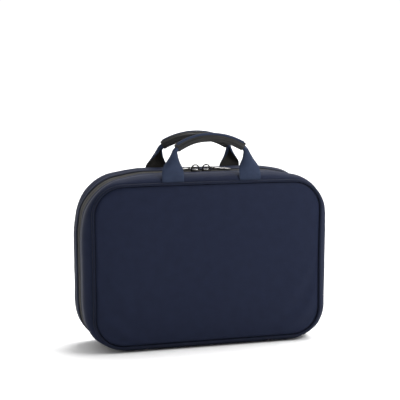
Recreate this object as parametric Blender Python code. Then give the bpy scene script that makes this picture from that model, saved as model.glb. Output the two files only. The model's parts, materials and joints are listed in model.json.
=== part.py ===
"""Shaving kit bag: a soft clamshell case with twin carry handles, built as its separate sewn pieces.

Frame: metres, +Z up, X along the width, the front panel faces -Y. The origin is on the ground
under the middle of the bag. A piece that runs round the bag is a section swept along the panel
seam: the section is written as (y, r), where r is how far a point stands outside that seam.
"""

import math

import bmesh
import bpy
from mathutils import Matrix, Vector

MM = 0.001

# Outside size of the case, without its handles
BAG_WIDTH = 288.5 * MM
BAG_HEIGHT = 198.25 * MM
SEAM_DEPTH = 74 * MM  # front panel seam to back panel seam
PANEL_CROWN = 4 * MM  # how far each padded panel swells past its seam
CROWN_REACH = 38 * MM  # distance from the seam to the flat middle of a panel
CROWN_RINGS = (8 * MM, 14 * MM, 23 * MM, 38 * MM)  # distances from the seam where a panel's slope changes

# Panel seam, the line where panel, piping and gusset are sewn together
GUSSET_STAND = 7.45 * MM  # gusset outside the panel seam, along the flattened bottom
SIDE_SWELL = 4.25 * MM  # how much further it bulges at the sides and the top
SWELL_START_Y = 35 * MM  # it bulges from here
SWELL_REACH = 12 * MM  # over this distance towards the zip
SWELL_TURN = 0.45  # part of a bottom corner's quarter turn, as a rise of the outward direction
SEAM_RADIUS = 32 * MM
ARC_STEPS = 7
SEAM_WIDTH = BAG_WIDTH - 2 * (GUSSET_STAND + SIDE_SWELL)
SEAM_HEIGHT = BAG_HEIGHT - 2 * GUSSET_STAND - SIDE_SWELL
SEAM_BOTTOM = GUSSET_STAND
SEAM_TOP = SEAM_BOTTOM + SEAM_HEIGHT
SEAM_MIDDLE_Z = (SEAM_BOTTOM + SEAM_TOP) / 2
BOTTOM_SEAM_X = 73 * MM  # where the zipped strips are joined to the bottom gusset

# Layers
GAP = 0.3 * MM
FABRIC = 1.2 * MM
FOAM = 3.0 * MM
LINING = 0.8 * MM
FOAM_INSET = 2.5 * MM  # edge of the foam inside the panel seam
LINING_INSET = 4 * MM
GUSSET_WALL = 1.6 * MM
PIPING_RADIUS = 1.5 * MM
PIPING_STAND = 1.7 * MM  # middle of the piping outside the panel seam
PIPING_PROUD = 0.2 * MM  # middle of the piping in front of the panel seam
GUSSET_LINING_Y = (-29 * MM, -13 * MM)
GUSSET_LINING_R = (3.5 * MM, 4.1 * MM)
BINDING_Y = (-33 * MM, -30.3 * MM)
BINDING_R = (-1.5 * MM, 1.0 * MM)

# Zip round the opening
ZIP_OPENING = 20 * MM  # between the two gusset edges
TAPE_FACE = 6.5 * MM  # outer face of the tape in the opening, outside the panel seam
TAPE_TUCK = 1 * MM  # how much lower the tape runs under the gusset
TAPE_WALL = 0.8 * MM
TAPE_EDGE_Y = -15 * MM  # hidden edge of the tape, under the gusset
TAPE_STEP_Y = (-10.6 * MM, -9 * MM)  # where it rises from under the gusset
SPLIT = 0.4 * MM  # half of the parting gap between the two halves
COIL_Y = (-2.3 * MM, -0.25 * MM)
COIL_R = (3.2 * MM, 4.4 * MM)
END_TAB = (7.5 * MM, 16 * MM, 0.55 * MM)  # the cover over each end of the zip, across X, Y and Z
END_TAB_GAP = 0.5 * MM  # from the bottom gusset's end to the tab
END_TAB_DROP = 7.4 * MM  # lower face of the tab below the panel seam
SLIDER_X = 6.5 * MM  # each slider from the middle of the top
SLIDER_PLATE = (10.4 * MM, 7.6 * MM, 1.3 * MM)
SLIDER_EDGE = 0.35 * MM
SLIDER_LIFT = 1.2 * MM  # plate above the tape, so the front tape can part from it
LIP_WALL = 0.85 * MM  # slider lip along its back edge
LIP_DROP = 0.85 * MM
LIP_INSET = 1 * MM
PIN_LIFT = 2.4 * MM  # puller pin above the plate
PULLER_LENGTH = 29 * MM
PULLER_WIDTH = 6 * MM
PULLER_WALL = 1.2 * MM
PULLER_SHOULDER = 3.5 * MM  # length of the chisel tip
PULLER_DROOP = math.radians(3.4)
BLADE_START = 6.2 * MM  # from the pin
BACKING_START = 8 * MM
BACKING_WALL = 1.2 * MM
BACKING_MARGIN = 0.3 * MM
PRONG_Y = (1.05 * MM, 2.3 * MM)
PRONG_X = (-0.9 * MM, 7.5 * MM)
PRONG_WALL = 1.1 * MM
PIN_SIZE = (0.5 * MM, 4.2 * MM)  # radius and length
SLOT_X = (19 * MM, 24 * MM)  # the slot through the pull
SLOT_WIDTH = 2.2 * MM

# Handles
WEBBING_WIDTH = 25 * MM
WEBBING_WALL = 1.6 * MM
WEBBING_START = 1.3 * MM  # lower end of the moving webbing above its bend
WEBBING_CLEAR = 0.15 * MM  # from the bend's axis to the webbing's outer face
HANDLE_X = 45 * MM  # middle of each foot from the middle of the bag
FOOT_TOP = 9.2 * MM  # where the webbing starts to bend, outside the panel seam
FOOT_Y = 35.3 * MM  # middle of the sewn-in foot from the middle of the bag
FOOT_LOW = 3.6 * MM  # lower end of the foot, outside the panel seam
GRIP_END_X = 39 * MM
GRIP_END_RISE = 33 * MM  # middle of the grip's end above the bend
GRIP_RISE = 45 * MM  # middle of the grip above the bend
NECK_SIZE = (2.7 * MM, 3.6 * MM)  # half width and half thickness of the webbing just below the grip
FOLDED_SIZE = (3.4 * MM, 2.2 * MM)  # of the folded webbing inside the grip
GRIP_SIZE = (4.9 * MM, 3.6 * MM)
GRIP_BORE = (3.8 * MM, 2.6 * MM)
FRONT_LEAN = math.radians(12)
REAR_LEAN = math.radians(22)

# Inside
POCKET_TOP = 132 * MM
POCKET_INSET = 7 * MM
POCKET_Y = -30.9 * MM
POCKET_WALL = 0.6 * MM
POCKET_BAND_WALL = 0.8 * MM  # pocket zip tape and top binding
POCKET_TAPE_WIDTH = 12 * MM
POCKET_BINDING_WIDTH = 5.7 * MM
POCKET_COIL_WIDTH = 3 * MM
POCKET_COIL_END = 6 * MM  # coil's end from the tape's end
POCKET_SLIDER_END = 14 * MM
POCKET_SLIDER_SIZE = (8.4 * MM, 1.6 * MM, 6.4 * MM)
POCKET_PULLER_SIZE = (17.6 * MM, 0.9 * MM, 4.0 * MM)
LOOP_COUNT = 4
LOOP_PITCH = 38 * MM
LOOP_WIDTH = 28 * MM
LOOP_RISE = 9 * MM
LOOP_STEPS = 8
LOOP_BAND_Z = (78 * MM, 108 * MM)
BAND_WALL = 0.9 * MM


def clear_scene():
    for obj in list(bpy.data.objects):
        bpy.data.objects.remove(obj)


def make_material(name, colour, roughness, metallic=0.0):
    material = bpy.data.materials.new(name)
    material.use_nodes = True
    shader = material.node_tree.nodes["Principled BSDF"]
    shader.inputs["Base Color"].default_value = (*colour, 1.0)
    shader.inputs["Roughness"].default_value = roughness
    shader.inputs["Metallic"].default_value = metallic
    return material


def finish_mesh(name, bm, material, smooth_angle=35):
    """Turns a bmesh into a named object whose faces point outwards."""
    bmesh.ops.remove_doubles(bm, verts=bm.verts, dist=0.001 * MM)
    bmesh.ops.recalc_face_normals(bm, faces=bm.faces)
    mesh = bpy.data.meshes.new(name)
    bm.to_mesh(mesh)
    bm.free()
    mesh.shade_smooth()
    mesh.set_sharp_from_angle(angle=math.radians(smooth_angle))
    mesh.materials.append(material)
    obj = bpy.data.objects.new(name, mesh)
    bpy.context.collection.objects.link(obj)
    return obj


def make_empty(name, location, rotation=(0, 0, 0)):
    empty = bpy.data.objects.new(name, None)
    empty.location = location
    empty.rotation_euler = rotation
    bpy.context.collection.objects.link(empty)
    return empty


def rounded_outline(width, height, radius, middle_z):
    """Stations (x, z, normal x, normal z) round a rounded rectangle, from the bottom right corner."""
    radius = max(radius, 1 * MM)
    reach_x = width / 2 - radius
    reach_z = height / 2 - radius
    stations = []
    for side_x, side_z, first in ((1, -1, -90), (1, 1, 0), (-1, 1, 90), (-1, -1, 180)):
        for step in range(ARC_STEPS + 1):
            angle = math.radians(first + 90 * step / ARC_STEPS)
            out_x = math.cos(angle)
            out_z = math.sin(angle)
            x = side_x * reach_x + radius * out_x
            z = middle_z + side_z * reach_z + radius * out_z
            stations.append((x, z, out_x, out_z))
    return stations


def seam_ring():
    return rounded_outline(SEAM_WIDTH, SEAM_HEIGHT, SEAM_RADIUS, SEAM_MIDDLE_Z)


def seam_arch(end_x=BOTTOM_SEAM_X + GAP):
    """The seam from one bottom joint, up the side, over the top and down to the other joint."""
    start = (end_x, SEAM_BOTTOM, 0.0, -1.0)
    end = (-end_x, SEAM_BOTTOM, 0.0, -1.0)
    return [start, *seam_ring(), end]


def seam_bottom(end_x=BOTTOM_SEAM_X - GAP):
    return [(-end_x, SEAM_BOTTOM, 0.0, -1.0), (end_x, SEAM_BOTTOM, 0.0, -1.0)]


def swell(out_z, y):
    """How far the bag bulges past its flattened bottom, for an outward direction and a depth."""
    turn = min((out_z + 1) / SWELL_TURN, 1)
    inward = min(max((SWELL_START_Y - abs(y)) / SWELL_REACH, 0), 1)
    return SIDE_SWELL * turn * turn * (3 - 2 * turn) * (1 - (1 - inward) ** 2)


def sweep(name, stations, section, closed, material, swells=False):
    """Sweeps a closed (y, r) section along stations, joined into a ring or capped at both ends."""
    bm = bmesh.new()
    loops = []
    for x, z, out_x, out_z in stations:
        loop = []
        for y, r in section:
            stand = r + swell(out_z, y) if swells else r
            loop.append(bm.verts.new((x + out_x * stand, y, z + out_z * stand)))
        loops.append(loop)
    count = len(section)
    pairs = list(zip(loops, loops[1:]))
    if closed:
        pairs.append((loops[-1], loops[0]))
    else:
        bm.faces.new(loops[0])
        bm.faces.new(loops[-1])
    for first, second in pairs:
        for i in range(count):
            j = (i + 1) % count
            bm.faces.new((first[i], first[j], second[j], second[i]))
    return finish_mesh(name, bm, material)


def strip_section(middle_line, wall):
    """A strip of even wall along a (y, r) line of points, as one closed section."""
    half = wall / 2
    outer = []
    inner = []
    last = len(middle_line) - 1
    for i, point in enumerate(middle_line):
        before = Vector(middle_line[max(i - 1, 0)])
        after = Vector(middle_line[min(i + 1, last)])
        along = (after - before).normalized()
        across = Vector((-along.y, along.x)) * half
        outer.append(tuple(Vector(point) + across))
        inner.append(tuple(Vector(point) - across))
    return outer + inner[::-1]


def box_section(y_range, r_range):
    y_low, y_high = y_range
    r_low, r_high = r_range
    return [(y_low, r_low), (y_high, r_low), (y_high, r_high), (y_low, r_high)]


def round_section(y, r, radius, sides=8):
    turns = [2 * math.pi * i / sides for i in range(sides)]
    return [(y + radius * math.cos(turn), r + radius * math.sin(turn)) for turn in turns]


def mirrored(section, side):
    """The section as written lies towards -Y; side 1 turns it to the back half."""
    return [(-side * y, r) for y, r in section]


def crown(inset):
    return PANEL_CROWN * (1 - (1 - min(inset, CROWN_REACH) / CROWN_REACH) ** 2)


def crowned_slab(name, side, edge_inset, layer_depth, wall, material):
    """A padded panel layer: its outer face is layer_depth inside the crowned outside face."""
    insets = [edge_inset]
    insets += [inset for inset in CROWN_RINGS if inset > edge_inset + 1 * MM]
    bm = bmesh.new()
    faces = []
    for depth in (layer_depth, layer_depth + wall):
        loops = []
        for inset in insets:
            outline = rounded_outline(
                SEAM_WIDTH - 2 * inset, SEAM_HEIGHT - 2 * inset, SEAM_RADIUS - inset, SEAM_MIDDLE_Z
            )
            y = side * (SEAM_DEPTH / 2 + crown(inset) - depth)
            loops.append([bm.verts.new((x, y, z)) for x, z, _, _ in outline])
        for first, second in zip(loops, loops[1:]):
            bridge(bm, first, second)
        bm.faces.new(loops[-1])
        faces.append(loops[0])
    bridge(bm, *faces)
    return finish_mesh(name, bm, material)


def bridge(bm, first, second):
    for i in range(len(first)):
        j = (i + 1) % len(first)
        bm.faces.new((first[i], first[j], second[j], second[i]))


def box_mesh(bm, low, high):
    size = Vector(high) - Vector(low)
    middle = (Vector(high) + Vector(low)) / 2
    matrix = Matrix.Translation(middle) @ Matrix.Diagonal((*size, 1))
    bmesh.ops.create_cube(bm, size=1, matrix=matrix)


def box_object(name, low, high, material, edge=0.0):
    bm = bmesh.new()
    box_mesh(bm, low, high)
    if edge:
        bmesh.ops.bevel(bm, geom=bm.edges[:], offset=edge, segments=2, affect="EDGES", profile=0.5)
    return finish_mesh(name, bm, material)


def join_boolean(target, tool, operation):
    """Applies a Boolean at once and removes the tool object."""
    modifier = target.modifiers.new(operation.title(), "BOOLEAN")
    modifier.operation = operation
    modifier.object = tool
    graph = bpy.context.evaluated_depsgraph_get()
    mesh = bpy.data.meshes.new_from_object(target.evaluated_get(graph))
    target.modifiers.clear()
    target.data = mesh
    mesh.shade_smooth()
    mesh.set_sharp_from_angle(angle=math.radians(35))
    bpy.data.objects.remove(tool)


# ---------------------------------------------------------------- case

def build_half(half, side, cloth, foam, lining, binding, tape, coil, piping):
    """One half of the case, as its sewn layers. side is -1 at the front and 1 at the back."""
    seam_y = -SEAM_DEPTH / 2
    crowned_slab(f"{half}_panel", side, GAP, 0.0, FABRIC, cloth)
    foam_depth = FABRIC + GAP
    crowned_slab(f"{half}_panel_foam", side, FOAM_INSET, foam_depth, FOAM, foam)
    lining_depth = foam_depth + FOAM + GAP
    crowned_slab(f"{half}_panel_lining", side, LINING_INSET, lining_depth, LINING, lining)

    piping_section = round_section(seam_y - PIPING_PROUD, PIPING_STAND, PIPING_RADIUS)
    sweep(f"{half}_piping", seam_ring(), mirrored(piping_section, side), True, piping)

    wall = strip_section(gusset_line(seam_y), GUSSET_WALL)
    sweep(f"{half}_gusset", seam_arch(), mirrored(wall, side), False, cloth, swells=True)
    inner = box_section(GUSSET_LINING_Y, GUSSET_LINING_R)
    sweep(f"{half}_gusset_lining", seam_arch(), mirrored(inner, side), False, lining, swells=True)
    bound = box_section(BINDING_Y, BINDING_R)
    sweep(f"{half}_seam_binding", seam_ring(), mirrored(bound, side), True, binding)

    upper = TAPE_FACE - TAPE_WALL / 2
    lower = upper - TAPE_TUCK
    tape_line = [(TAPE_EDGE_Y, lower), (TAPE_STEP_Y[0], lower), (TAPE_STEP_Y[1], upper), (-SPLIT, upper)]
    zip_wall = strip_section(tape_line, TAPE_WALL)
    sweep(f"{half}_zip_tape", seam_arch(), mirrored(zip_wall, side), False, tape, swells=True)
    teeth = box_section(COIL_Y, COIL_R)
    sweep(f"{half}_zip_coil", seam_arch(), mirrored(teeth, side), False, coil, swells=True)


def gusset_line(seam_y):
    """The middle of the gusset's wall, from the panel seam to the edge of the zip opening."""
    face = GUSSET_STAND - GUSSET_WALL / 2
    return [
        (seam_y + 2.2 * MM, 1.5 * MM),
        (seam_y + 4.6 * MM, 4.2 * MM),
        (seam_y + 9.0 * MM, 6.1 * MM),
        (seam_y + 16.0 * MM, face),
        (-ZIP_OPENING / 2 - 0.5 * MM, face),
    ]


def build_bottom(cloth, lining, tape):
    """The strip that joins the two halves along the ground, and the tabs over the zip's ends."""
    half_line = gusset_line(-SEAM_DEPTH / 2)[:-1]
    whole_line = half_line + [(-y, r) for y, r in reversed(half_line)]
    wall = strip_section(whole_line, GUSSET_WALL)
    sweep("bottom_gusset", seam_bottom(), wall, False, cloth)
    edge_y = GUSSET_LINING_Y[0]
    inner = box_section((edge_y, -edge_y), GUSSET_LINING_R)
    sweep("bottom_gusset_lining", seam_bottom(), inner, False, lining)
    length, width, thickness = END_TAB
    for side, name in ((-1, "left"), (1, "right")):
        near = side * (BOTTOM_SEAM_X + END_TAB_GAP)
        far = near + side * length
        low = (min(near, far), -width / 2, SEAM_BOTTOM - END_TAB_DROP)
        high = (max(near, far), width / 2, SEAM_BOTTOM - END_TAB_DROP + thickness)
        box_object(f"zip_end_tab_{name}", low, high, tape)


# ---------------------------------------------------------------- zip sliders

def build_slider(name, side, metal):
    """The slider's top plate with its arched bridge and the lip over the back tape."""
    length, width, wall = SLIDER_PLATE
    plate_low = SEAM_TOP + TAPE_FACE + SIDE_SWELL + SLIDER_LIFT
    plate_top = plate_low + wall
    empty = make_empty(f"{name}_joint", (side * SLIDER_X, 0, plate_top))
    low = (-length / 2, -width / 2, -wall)
    high = (length / 2, width / 2, 0)
    body = box_object(name, low, high, metal, edge=SLIDER_EDGE)
    lip_back = width / 2 - 0.05 * MM
    lip_low = (-length / 2 + LIP_INSET, lip_back - LIP_WALL, -wall - LIP_DROP)
    lip_high = (length / 2 - LIP_INSET, lip_back, -wall / 2)
    join_boolean(body, box_object("lip", lip_low, lip_high, metal), "UNION")
    join_boolean(body, bridge_wire(metal), "UNION")
    body.parent = empty
    return empty


def bridge_wire(metal, reach=3.9 * MM, rise=4.5 * MM, sink=0.6 * MM, radius=0.65 * MM, steps=10, sides=8):
    """The arch over the slider that holds the puller, its feet sunk into the plate."""
    bm = bmesh.new()
    loops = []
    for step in range(steps + 1):
        angle = math.pi * step / steps
        middle = Vector((reach * math.cos(angle), 0, rise * math.sin(angle) - sink))
        out = Vector((math.cos(angle), 0, math.sin(angle)))
        across = Vector((0, 1, 0))
        turns = [2 * math.pi * i / sides for i in range(sides)]
        ring = [middle + radius * (out * math.cos(t) + across * math.sin(t)) for t in turns]
        loops.append([bm.verts.new(point) for point in ring])
    for first, second in zip(loops, loops[1:]):
        bridge(bm, first, second)
    bm.faces.new(loops[0])
    bm.faces.new(loops[-1])
    return finish_mesh("bridge", bm, metal)


def build_puller(name, side, slider, metal, rubber):
    """A flat metal pull that forks round the bridge, with a pin through it and a soft backing."""
    turn = (0, PULLER_DROOP, 0) if side > 0 else (0, PULLER_DROOP, math.pi)
    empty = make_empty(f"{name}_joint", (0, 0, PIN_LIFT), turn)
    empty.parent = slider
    half = PULLER_WIDTH / 2
    top = PULLER_WALL / 2
    blade = blade_object(f"{name}_blade", -top, top, half, BLADE_START, metal)
    for edge in (-1, 1):
        near = sorted((edge * PRONG_Y[0], edge * PRONG_Y[1]))
        low = (PRONG_X[0], near[0], -PRONG_WALL / 2)
        high = (PRONG_X[1], near[1], PRONG_WALL / 2)
        join_boolean(blade, box_object("prong", low, high, metal), "UNION")
    pin = bmesh.new()
    across = Matrix.Rotation(math.pi / 2, 4, "X")
    radius, length = PIN_SIZE
    bmesh.ops.create_cone(
        pin, cap_ends=True, segments=10, radius1=radius, radius2=radius, depth=length, matrix=across
    )
    join_boolean(blade, finish_mesh("pin", pin, metal), "UNION")
    slot_low = (SLOT_X[0], -SLOT_WIDTH / 2, -PULLER_WALL)
    slot_high = (SLOT_X[1], SLOT_WIDTH / 2, PULLER_WALL)
    join_boolean(blade, box_object("slot", slot_low, slot_high, metal), "DIFFERENCE")
    back_top = -top - GAP
    back_low = back_top - BACKING_WALL
    back = blade_object(
        f"{name}_backing", back_low, back_top, half + BACKING_MARGIN, BACKING_START, rubber
    )
    blade.parent = empty
    back.parent = empty


def blade_object(name, low_z, high_z, half, start_x, material):
    """A flat bar from start_x to the pull's end, narrowed to a chisel tip."""
    shoulder = PULLER_LENGTH - PULLER_SHOULDER
    tip = half * 0.45
    outline = [(start_x, -half), (shoulder, -half), (PULLER_LENGTH, -tip)]
    outline += [(x, -y) for x, y in reversed(outline)]
    bm = bmesh.new()
    loops = [[bm.verts.new((x, y, z)) for x, y in outline] for z in (low_z, high_z)]
    bridge(bm, *loops)
    bm.faces.new(loops[0])
    bm.faces.new(loops[1])
    return finish_mesh(name, bm, material)


# ---------------------------------------------------------------- handles

def handle_path():
    """Stations of the webbing above its bend: middle x, z, direction, half width, half thickness."""
    wall = WEBBING_WALL / 2
    wide = WEBBING_WIDTH / 2
    stations = [
        (-HANDLE_X, WEBBING_START, (0, 1), wide, wall),
        (-HANDLE_X + 0.2 * MM, 8 * MM, (0.04, 1), wide * 0.86, wall * 1.15),
        (-HANDLE_X + 0.8 * MM, 16 * MM, (0.1, 1), wide * 0.62, wall * 1.7),
        (-HANDLE_X + 1.9 * MM, 24 * MM, (0.25, 1), wide * 0.36, wall * 2.9),
        (-HANDLE_X + 3.8 * MM, 30.0 * MM, (0.62, 1), *NECK_SIZE),
    ]
    for step in range(9):
        stations.append((*grip_point(step / 8), *FOLDED_SIZE))
    for x, z, (run_x, run_z), half_width, half_wall in reversed(stations[:5]):
        stations.append((-x, z, (run_x, -run_z), half_width, half_wall))
    return stations


def grip_point(fraction):
    """Middle and direction of the grip, an arc between its two ends."""
    rise = GRIP_RISE - GRIP_END_RISE
    radius = (GRIP_END_X**2 + rise**2) / (2 * rise)
    spread = math.asin(GRIP_END_X / radius)
    angle = spread * (2 * fraction - 1)
    x = radius * math.sin(angle)
    z = GRIP_RISE - radius * (1 - math.cos(angle))
    return x, z, (math.cos(angle), -math.sin(angle))


def oval_loop(bm, x, z, run, half_width, half_wall):
    """Eight points round the webbing: half_width lies in the handle's plane, half_wall along Y."""
    run_x, run_z = Vector(run).normalized()
    corner = 0.72
    points = []
    for across, depth in (
        (1, -corner), (1, corner), (corner, 1), (-corner, 1),
        (-1, corner), (-1, -corner), (-corner, -1), (corner, -1),
    ):
        wide = across * half_width
        points.append(bm.verts.new((x + run_z * wide, depth * half_wall, z - run_x * wide)))
    return points


def build_handle(half, side, lean, cloth, leather):
    """One handle above the bend of its feet, leaning inwards by lean."""
    outward = WEBBING_WALL / 2 + WEBBING_CLEAR
    pivot_y = side * (FOOT_Y + outward)
    turn = (lean * side, 0, 0)
    empty = make_empty(f"{half}_handle_joint", (0, pivot_y, SEAM_TOP + FOOT_TOP), turn)
    offset = Matrix.Translation((0, -side * outward, 0))

    bm = bmesh.new()
    loops = [oval_loop(bm, *station) for station in handle_path()]
    for first, second in zip(loops, loops[1:]):
        bridge(bm, first, second)
    bm.faces.new(loops[0])
    bm.faces.new(loops[-1])
    bmesh.ops.transform(bm, matrix=offset, verts=bm.verts)
    webbing = finish_mesh(f"{half}_handle_webbing", bm, cloth)
    webbing.parent = empty

    bm = bmesh.new()
    shells = []
    for size in (GRIP_SIZE, GRIP_BORE):
        shells.append([oval_loop(bm, *grip_point(step / 8), *size) for step in range(9)])
    for shell in shells:
        for first, second in zip(shell, shell[1:]):
            bridge(bm, first, second)
    bridge(bm, shells[0][0], shells[1][0])
    bridge(bm, shells[0][-1], shells[1][-1])
    bmesh.ops.transform(bm, matrix=offset, verts=bm.verts)
    grip = finish_mesh(f"{half}_handle_grip", bm, leather)
    grip.parent = empty


def build_feet(half, side, cloth):
    """The lowest part of the webbing, sewn upright into the panel seam."""
    for hand, name in ((-1, "left"), (1, "right")):
        middle = hand * HANDLE_X
        near = sorted((side * (FOOT_Y - WEBBING_WALL / 2), side * (FOOT_Y + WEBBING_WALL / 2)))
        low = (middle - WEBBING_WIDTH / 2, near[0], SEAM_TOP + FOOT_LOW)
        high = (middle + WEBBING_WIDTH / 2, near[1], SEAM_TOP + FOOT_TOP)
        box_object(f"{half}_handle_foot_{name}", low, high, cloth)


# ---------------------------------------------------------------- inside

def build_pocket(mesh_cloth, binding, tape, coil, metal):
    """A flat mesh pocket across the lower part of the front half, closed by its own small zip."""
    width = SEAM_WIDTH - 2 * POCKET_INSET
    outline = rounded_outline(
        width, SEAM_HEIGHT - 2 * POCKET_INSET, SEAM_RADIUS - POCKET_INSET, SEAM_MIDDLE_Z
    )
    lower = [(x, z) for x, z, _, _ in outline if z < SEAM_MIDDLE_Z]
    left = lower[len(lower) // 2:]
    right = lower[:len(lower) // 2]
    edge = [(width / 2, POCKET_TOP), (-width / 2, POCKET_TOP), *left, *right]
    faces_y = (POCKET_Y - POCKET_WALL / 2, POCKET_Y + POCKET_WALL / 2)
    bm = bmesh.new()
    loops = [[bm.verts.new((x, y, z)) for x, z in edge] for y in faces_y]
    bridge(bm, *loops)
    bm.faces.new(loops[0])
    bm.faces.new(loops[1])
    finish_mesh("pocket_mesh", bm, mesh_cloth)

    half_tape = POCKET_TAPE_WIDTH / 2
    half_wall = POCKET_BAND_WALL / 2
    middle_z = POCKET_TOP + GAP + half_tape
    reach = width / 2 - 1 * MM
    low = (-reach, POCKET_Y - half_wall, middle_z - half_tape)
    high = (reach, POCKET_Y + half_wall, middle_z + half_tape)
    box_object("pocket_zip_tape", low, high, tape)
    coil_front = POCKET_Y + half_wall + GAP
    coil_back = POCKET_Y + 1.6 * MM
    coil_reach = reach - POCKET_COIL_END
    coil_low = (-coil_reach, coil_front, middle_z - POCKET_COIL_WIDTH / 2)
    coil_high = (coil_reach, coil_back, middle_z + POCKET_COIL_WIDTH / 2)
    box_object("pocket_zip_coil", coil_low, coil_high, coil)
    binding_bottom = middle_z + half_tape + GAP
    binding_low = (-reach, POCKET_Y - half_wall, binding_bottom)
    binding_high = (reach, POCKET_Y + half_wall, binding_bottom + POCKET_BINDING_WIDTH)
    box_object("pocket_top_binding", binding_low, binding_high, binding)

    start = make_empty("pocket_slider_joint", (reach - POCKET_SLIDER_END, coil_back + GAP, middle_z))
    length, thickness, height = POCKET_SLIDER_SIZE
    slider_low = (-length / 2, 0, -height / 2)
    slider_high = (length / 2, thickness, height / 2)
    body = box_object("pocket_slider", slider_low, slider_high, metal, edge=0.4 * MM)
    body.parent = start
    pull_joint = make_empty("pocket_puller_joint", (-2.2 * MM, thickness + 0.8 * MM, 0))
    pull_joint.parent = start
    length, thickness, height = POCKET_PULLER_SIZE
    pin_end = 0.6 * MM
    pull_low = (pin_end - length, -thickness / 2, -height / 2)
    pull_high = (pin_end, thickness / 2, height / 2)
    pull = box_object("pocket_puller", pull_low, pull_high, metal, edge=0.3 * MM)
    pull.parent = pull_joint


def build_loops(elastic, band):
    """An elastic band on the back lining, sewn down between four arched tool loops."""
    base_y = SEAM_DEPTH / 2 + PANEL_CROWN - (FABRIC + FOAM + LINING + 2 * GAP) - GAP
    low_z, high_z = LOOP_BAND_Z
    reach = LOOP_COUNT * LOOP_PITCH / 2
    box_object("loop_backing", (-reach, base_y - BAND_WALL, low_z), (reach, base_y, high_z), band)
    line = [(-reach, 0.0)]
    for index in range(LOOP_COUNT):
        middle = (index - (LOOP_COUNT - 1) / 2) * LOOP_PITCH
        for step in range(LOOP_STEPS + 1):
            angle = math.pi * (1 - step / LOOP_STEPS)
            line.append((middle + LOOP_WIDTH / 2 * math.cos(angle), LOOP_RISE * math.sin(angle)))
    line.append((reach, 0.0))
    section = strip_section(line, BAND_WALL)
    front_y = base_y - BAND_WALL - GAP - BAND_WALL / 2
    inset = 1 * MM
    bm = bmesh.new()
    loops = []
    for z in (low_z + inset, high_z - inset):
        loops.append([bm.verts.new((x, front_y - rise, z)) for x, rise in section])
    bridge(bm, *loops)
    bm.faces.new(loops[0])
    bm.faces.new(loops[1])
    finish_mesh("elastic_loops", bm, elastic)


def main():
    clear_scene()
    navy = make_material("navy_softshell", (0.016, 0.021, 0.045), 0.62)
    navy_piping = make_material("navy_piping", (0.012, 0.015, 0.032), 0.6)
    navy_webbing = make_material("navy_webbing", (0.045, 0.062, 0.13), 0.8)
    charcoal_tape = make_material("charcoal_tape", (0.07, 0.07, 0.075), 0.85)
    black_coil = make_material("black_coil", (0.02, 0.02, 0.02), 0.45)
    gunmetal = make_material("gunmetal", (0.32, 0.31, 0.30), 0.28, 1.0)
    leather = make_material("charcoal_leather", (0.045, 0.045, 0.045), 0.55)
    rubber = make_material("black_rubber", (0.012, 0.012, 0.012), 0.5)
    foam = make_material("foam", (0.55, 0.55, 0.52), 0.95)
    lining = make_material("grey_lining", (0.10, 0.11, 0.13), 0.7)
    binding = make_material("black_binding", (0.02, 0.022, 0.03), 0.75)
    mesh_cloth = make_material("black_mesh", (0.03, 0.03, 0.035), 0.8)
    elastic = make_material("black_elastic", (0.025, 0.025, 0.03), 0.8)

    for half, side in (("front", -1), ("back", 1)):
        build_half(half, side, navy, foam, lining, binding, charcoal_tape, black_coil, navy_piping)
        build_feet(half, side, navy_webbing)
    build_bottom(navy, lining, charcoal_tape)
    build_handle("front", -1, FRONT_LEAN, navy_webbing, leather)
    build_handle("back", 1, REAR_LEAN, navy_webbing, leather)
    for name, side in (("left", -1), ("right", 1)):
        slider = build_slider(f"{name}_slider", side, gunmetal)
        build_puller(f"{name}_puller", side, slider, gunmetal, rubber)
    build_pocket(mesh_cloth, binding, charcoal_tape, black_coil, gunmetal)
    build_loops(elastic, binding)


main()
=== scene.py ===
import json
import math

import bmesh
import bpy
import numpy as np
from mathutils import Matrix, Vector, noise

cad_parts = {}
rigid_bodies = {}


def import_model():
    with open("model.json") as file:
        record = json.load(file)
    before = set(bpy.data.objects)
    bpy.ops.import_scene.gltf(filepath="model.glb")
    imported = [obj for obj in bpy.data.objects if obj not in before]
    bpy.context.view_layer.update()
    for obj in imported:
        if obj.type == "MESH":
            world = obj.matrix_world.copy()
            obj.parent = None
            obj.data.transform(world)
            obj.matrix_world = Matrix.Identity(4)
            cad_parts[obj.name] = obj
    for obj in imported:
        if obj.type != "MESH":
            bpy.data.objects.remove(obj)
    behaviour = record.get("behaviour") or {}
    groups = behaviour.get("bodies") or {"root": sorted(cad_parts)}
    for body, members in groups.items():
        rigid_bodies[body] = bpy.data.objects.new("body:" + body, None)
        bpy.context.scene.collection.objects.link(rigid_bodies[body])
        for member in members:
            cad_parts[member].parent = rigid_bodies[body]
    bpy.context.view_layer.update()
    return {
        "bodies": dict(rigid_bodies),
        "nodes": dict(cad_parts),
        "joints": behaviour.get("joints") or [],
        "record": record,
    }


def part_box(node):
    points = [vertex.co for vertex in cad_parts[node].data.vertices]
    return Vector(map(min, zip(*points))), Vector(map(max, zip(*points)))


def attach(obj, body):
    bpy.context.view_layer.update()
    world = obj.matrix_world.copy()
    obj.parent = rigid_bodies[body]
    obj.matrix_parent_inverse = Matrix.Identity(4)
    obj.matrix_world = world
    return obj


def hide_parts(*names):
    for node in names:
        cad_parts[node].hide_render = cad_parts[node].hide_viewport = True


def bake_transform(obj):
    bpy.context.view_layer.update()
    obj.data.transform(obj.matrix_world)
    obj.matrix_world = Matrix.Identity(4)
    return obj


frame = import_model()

mm = 0.001

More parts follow.
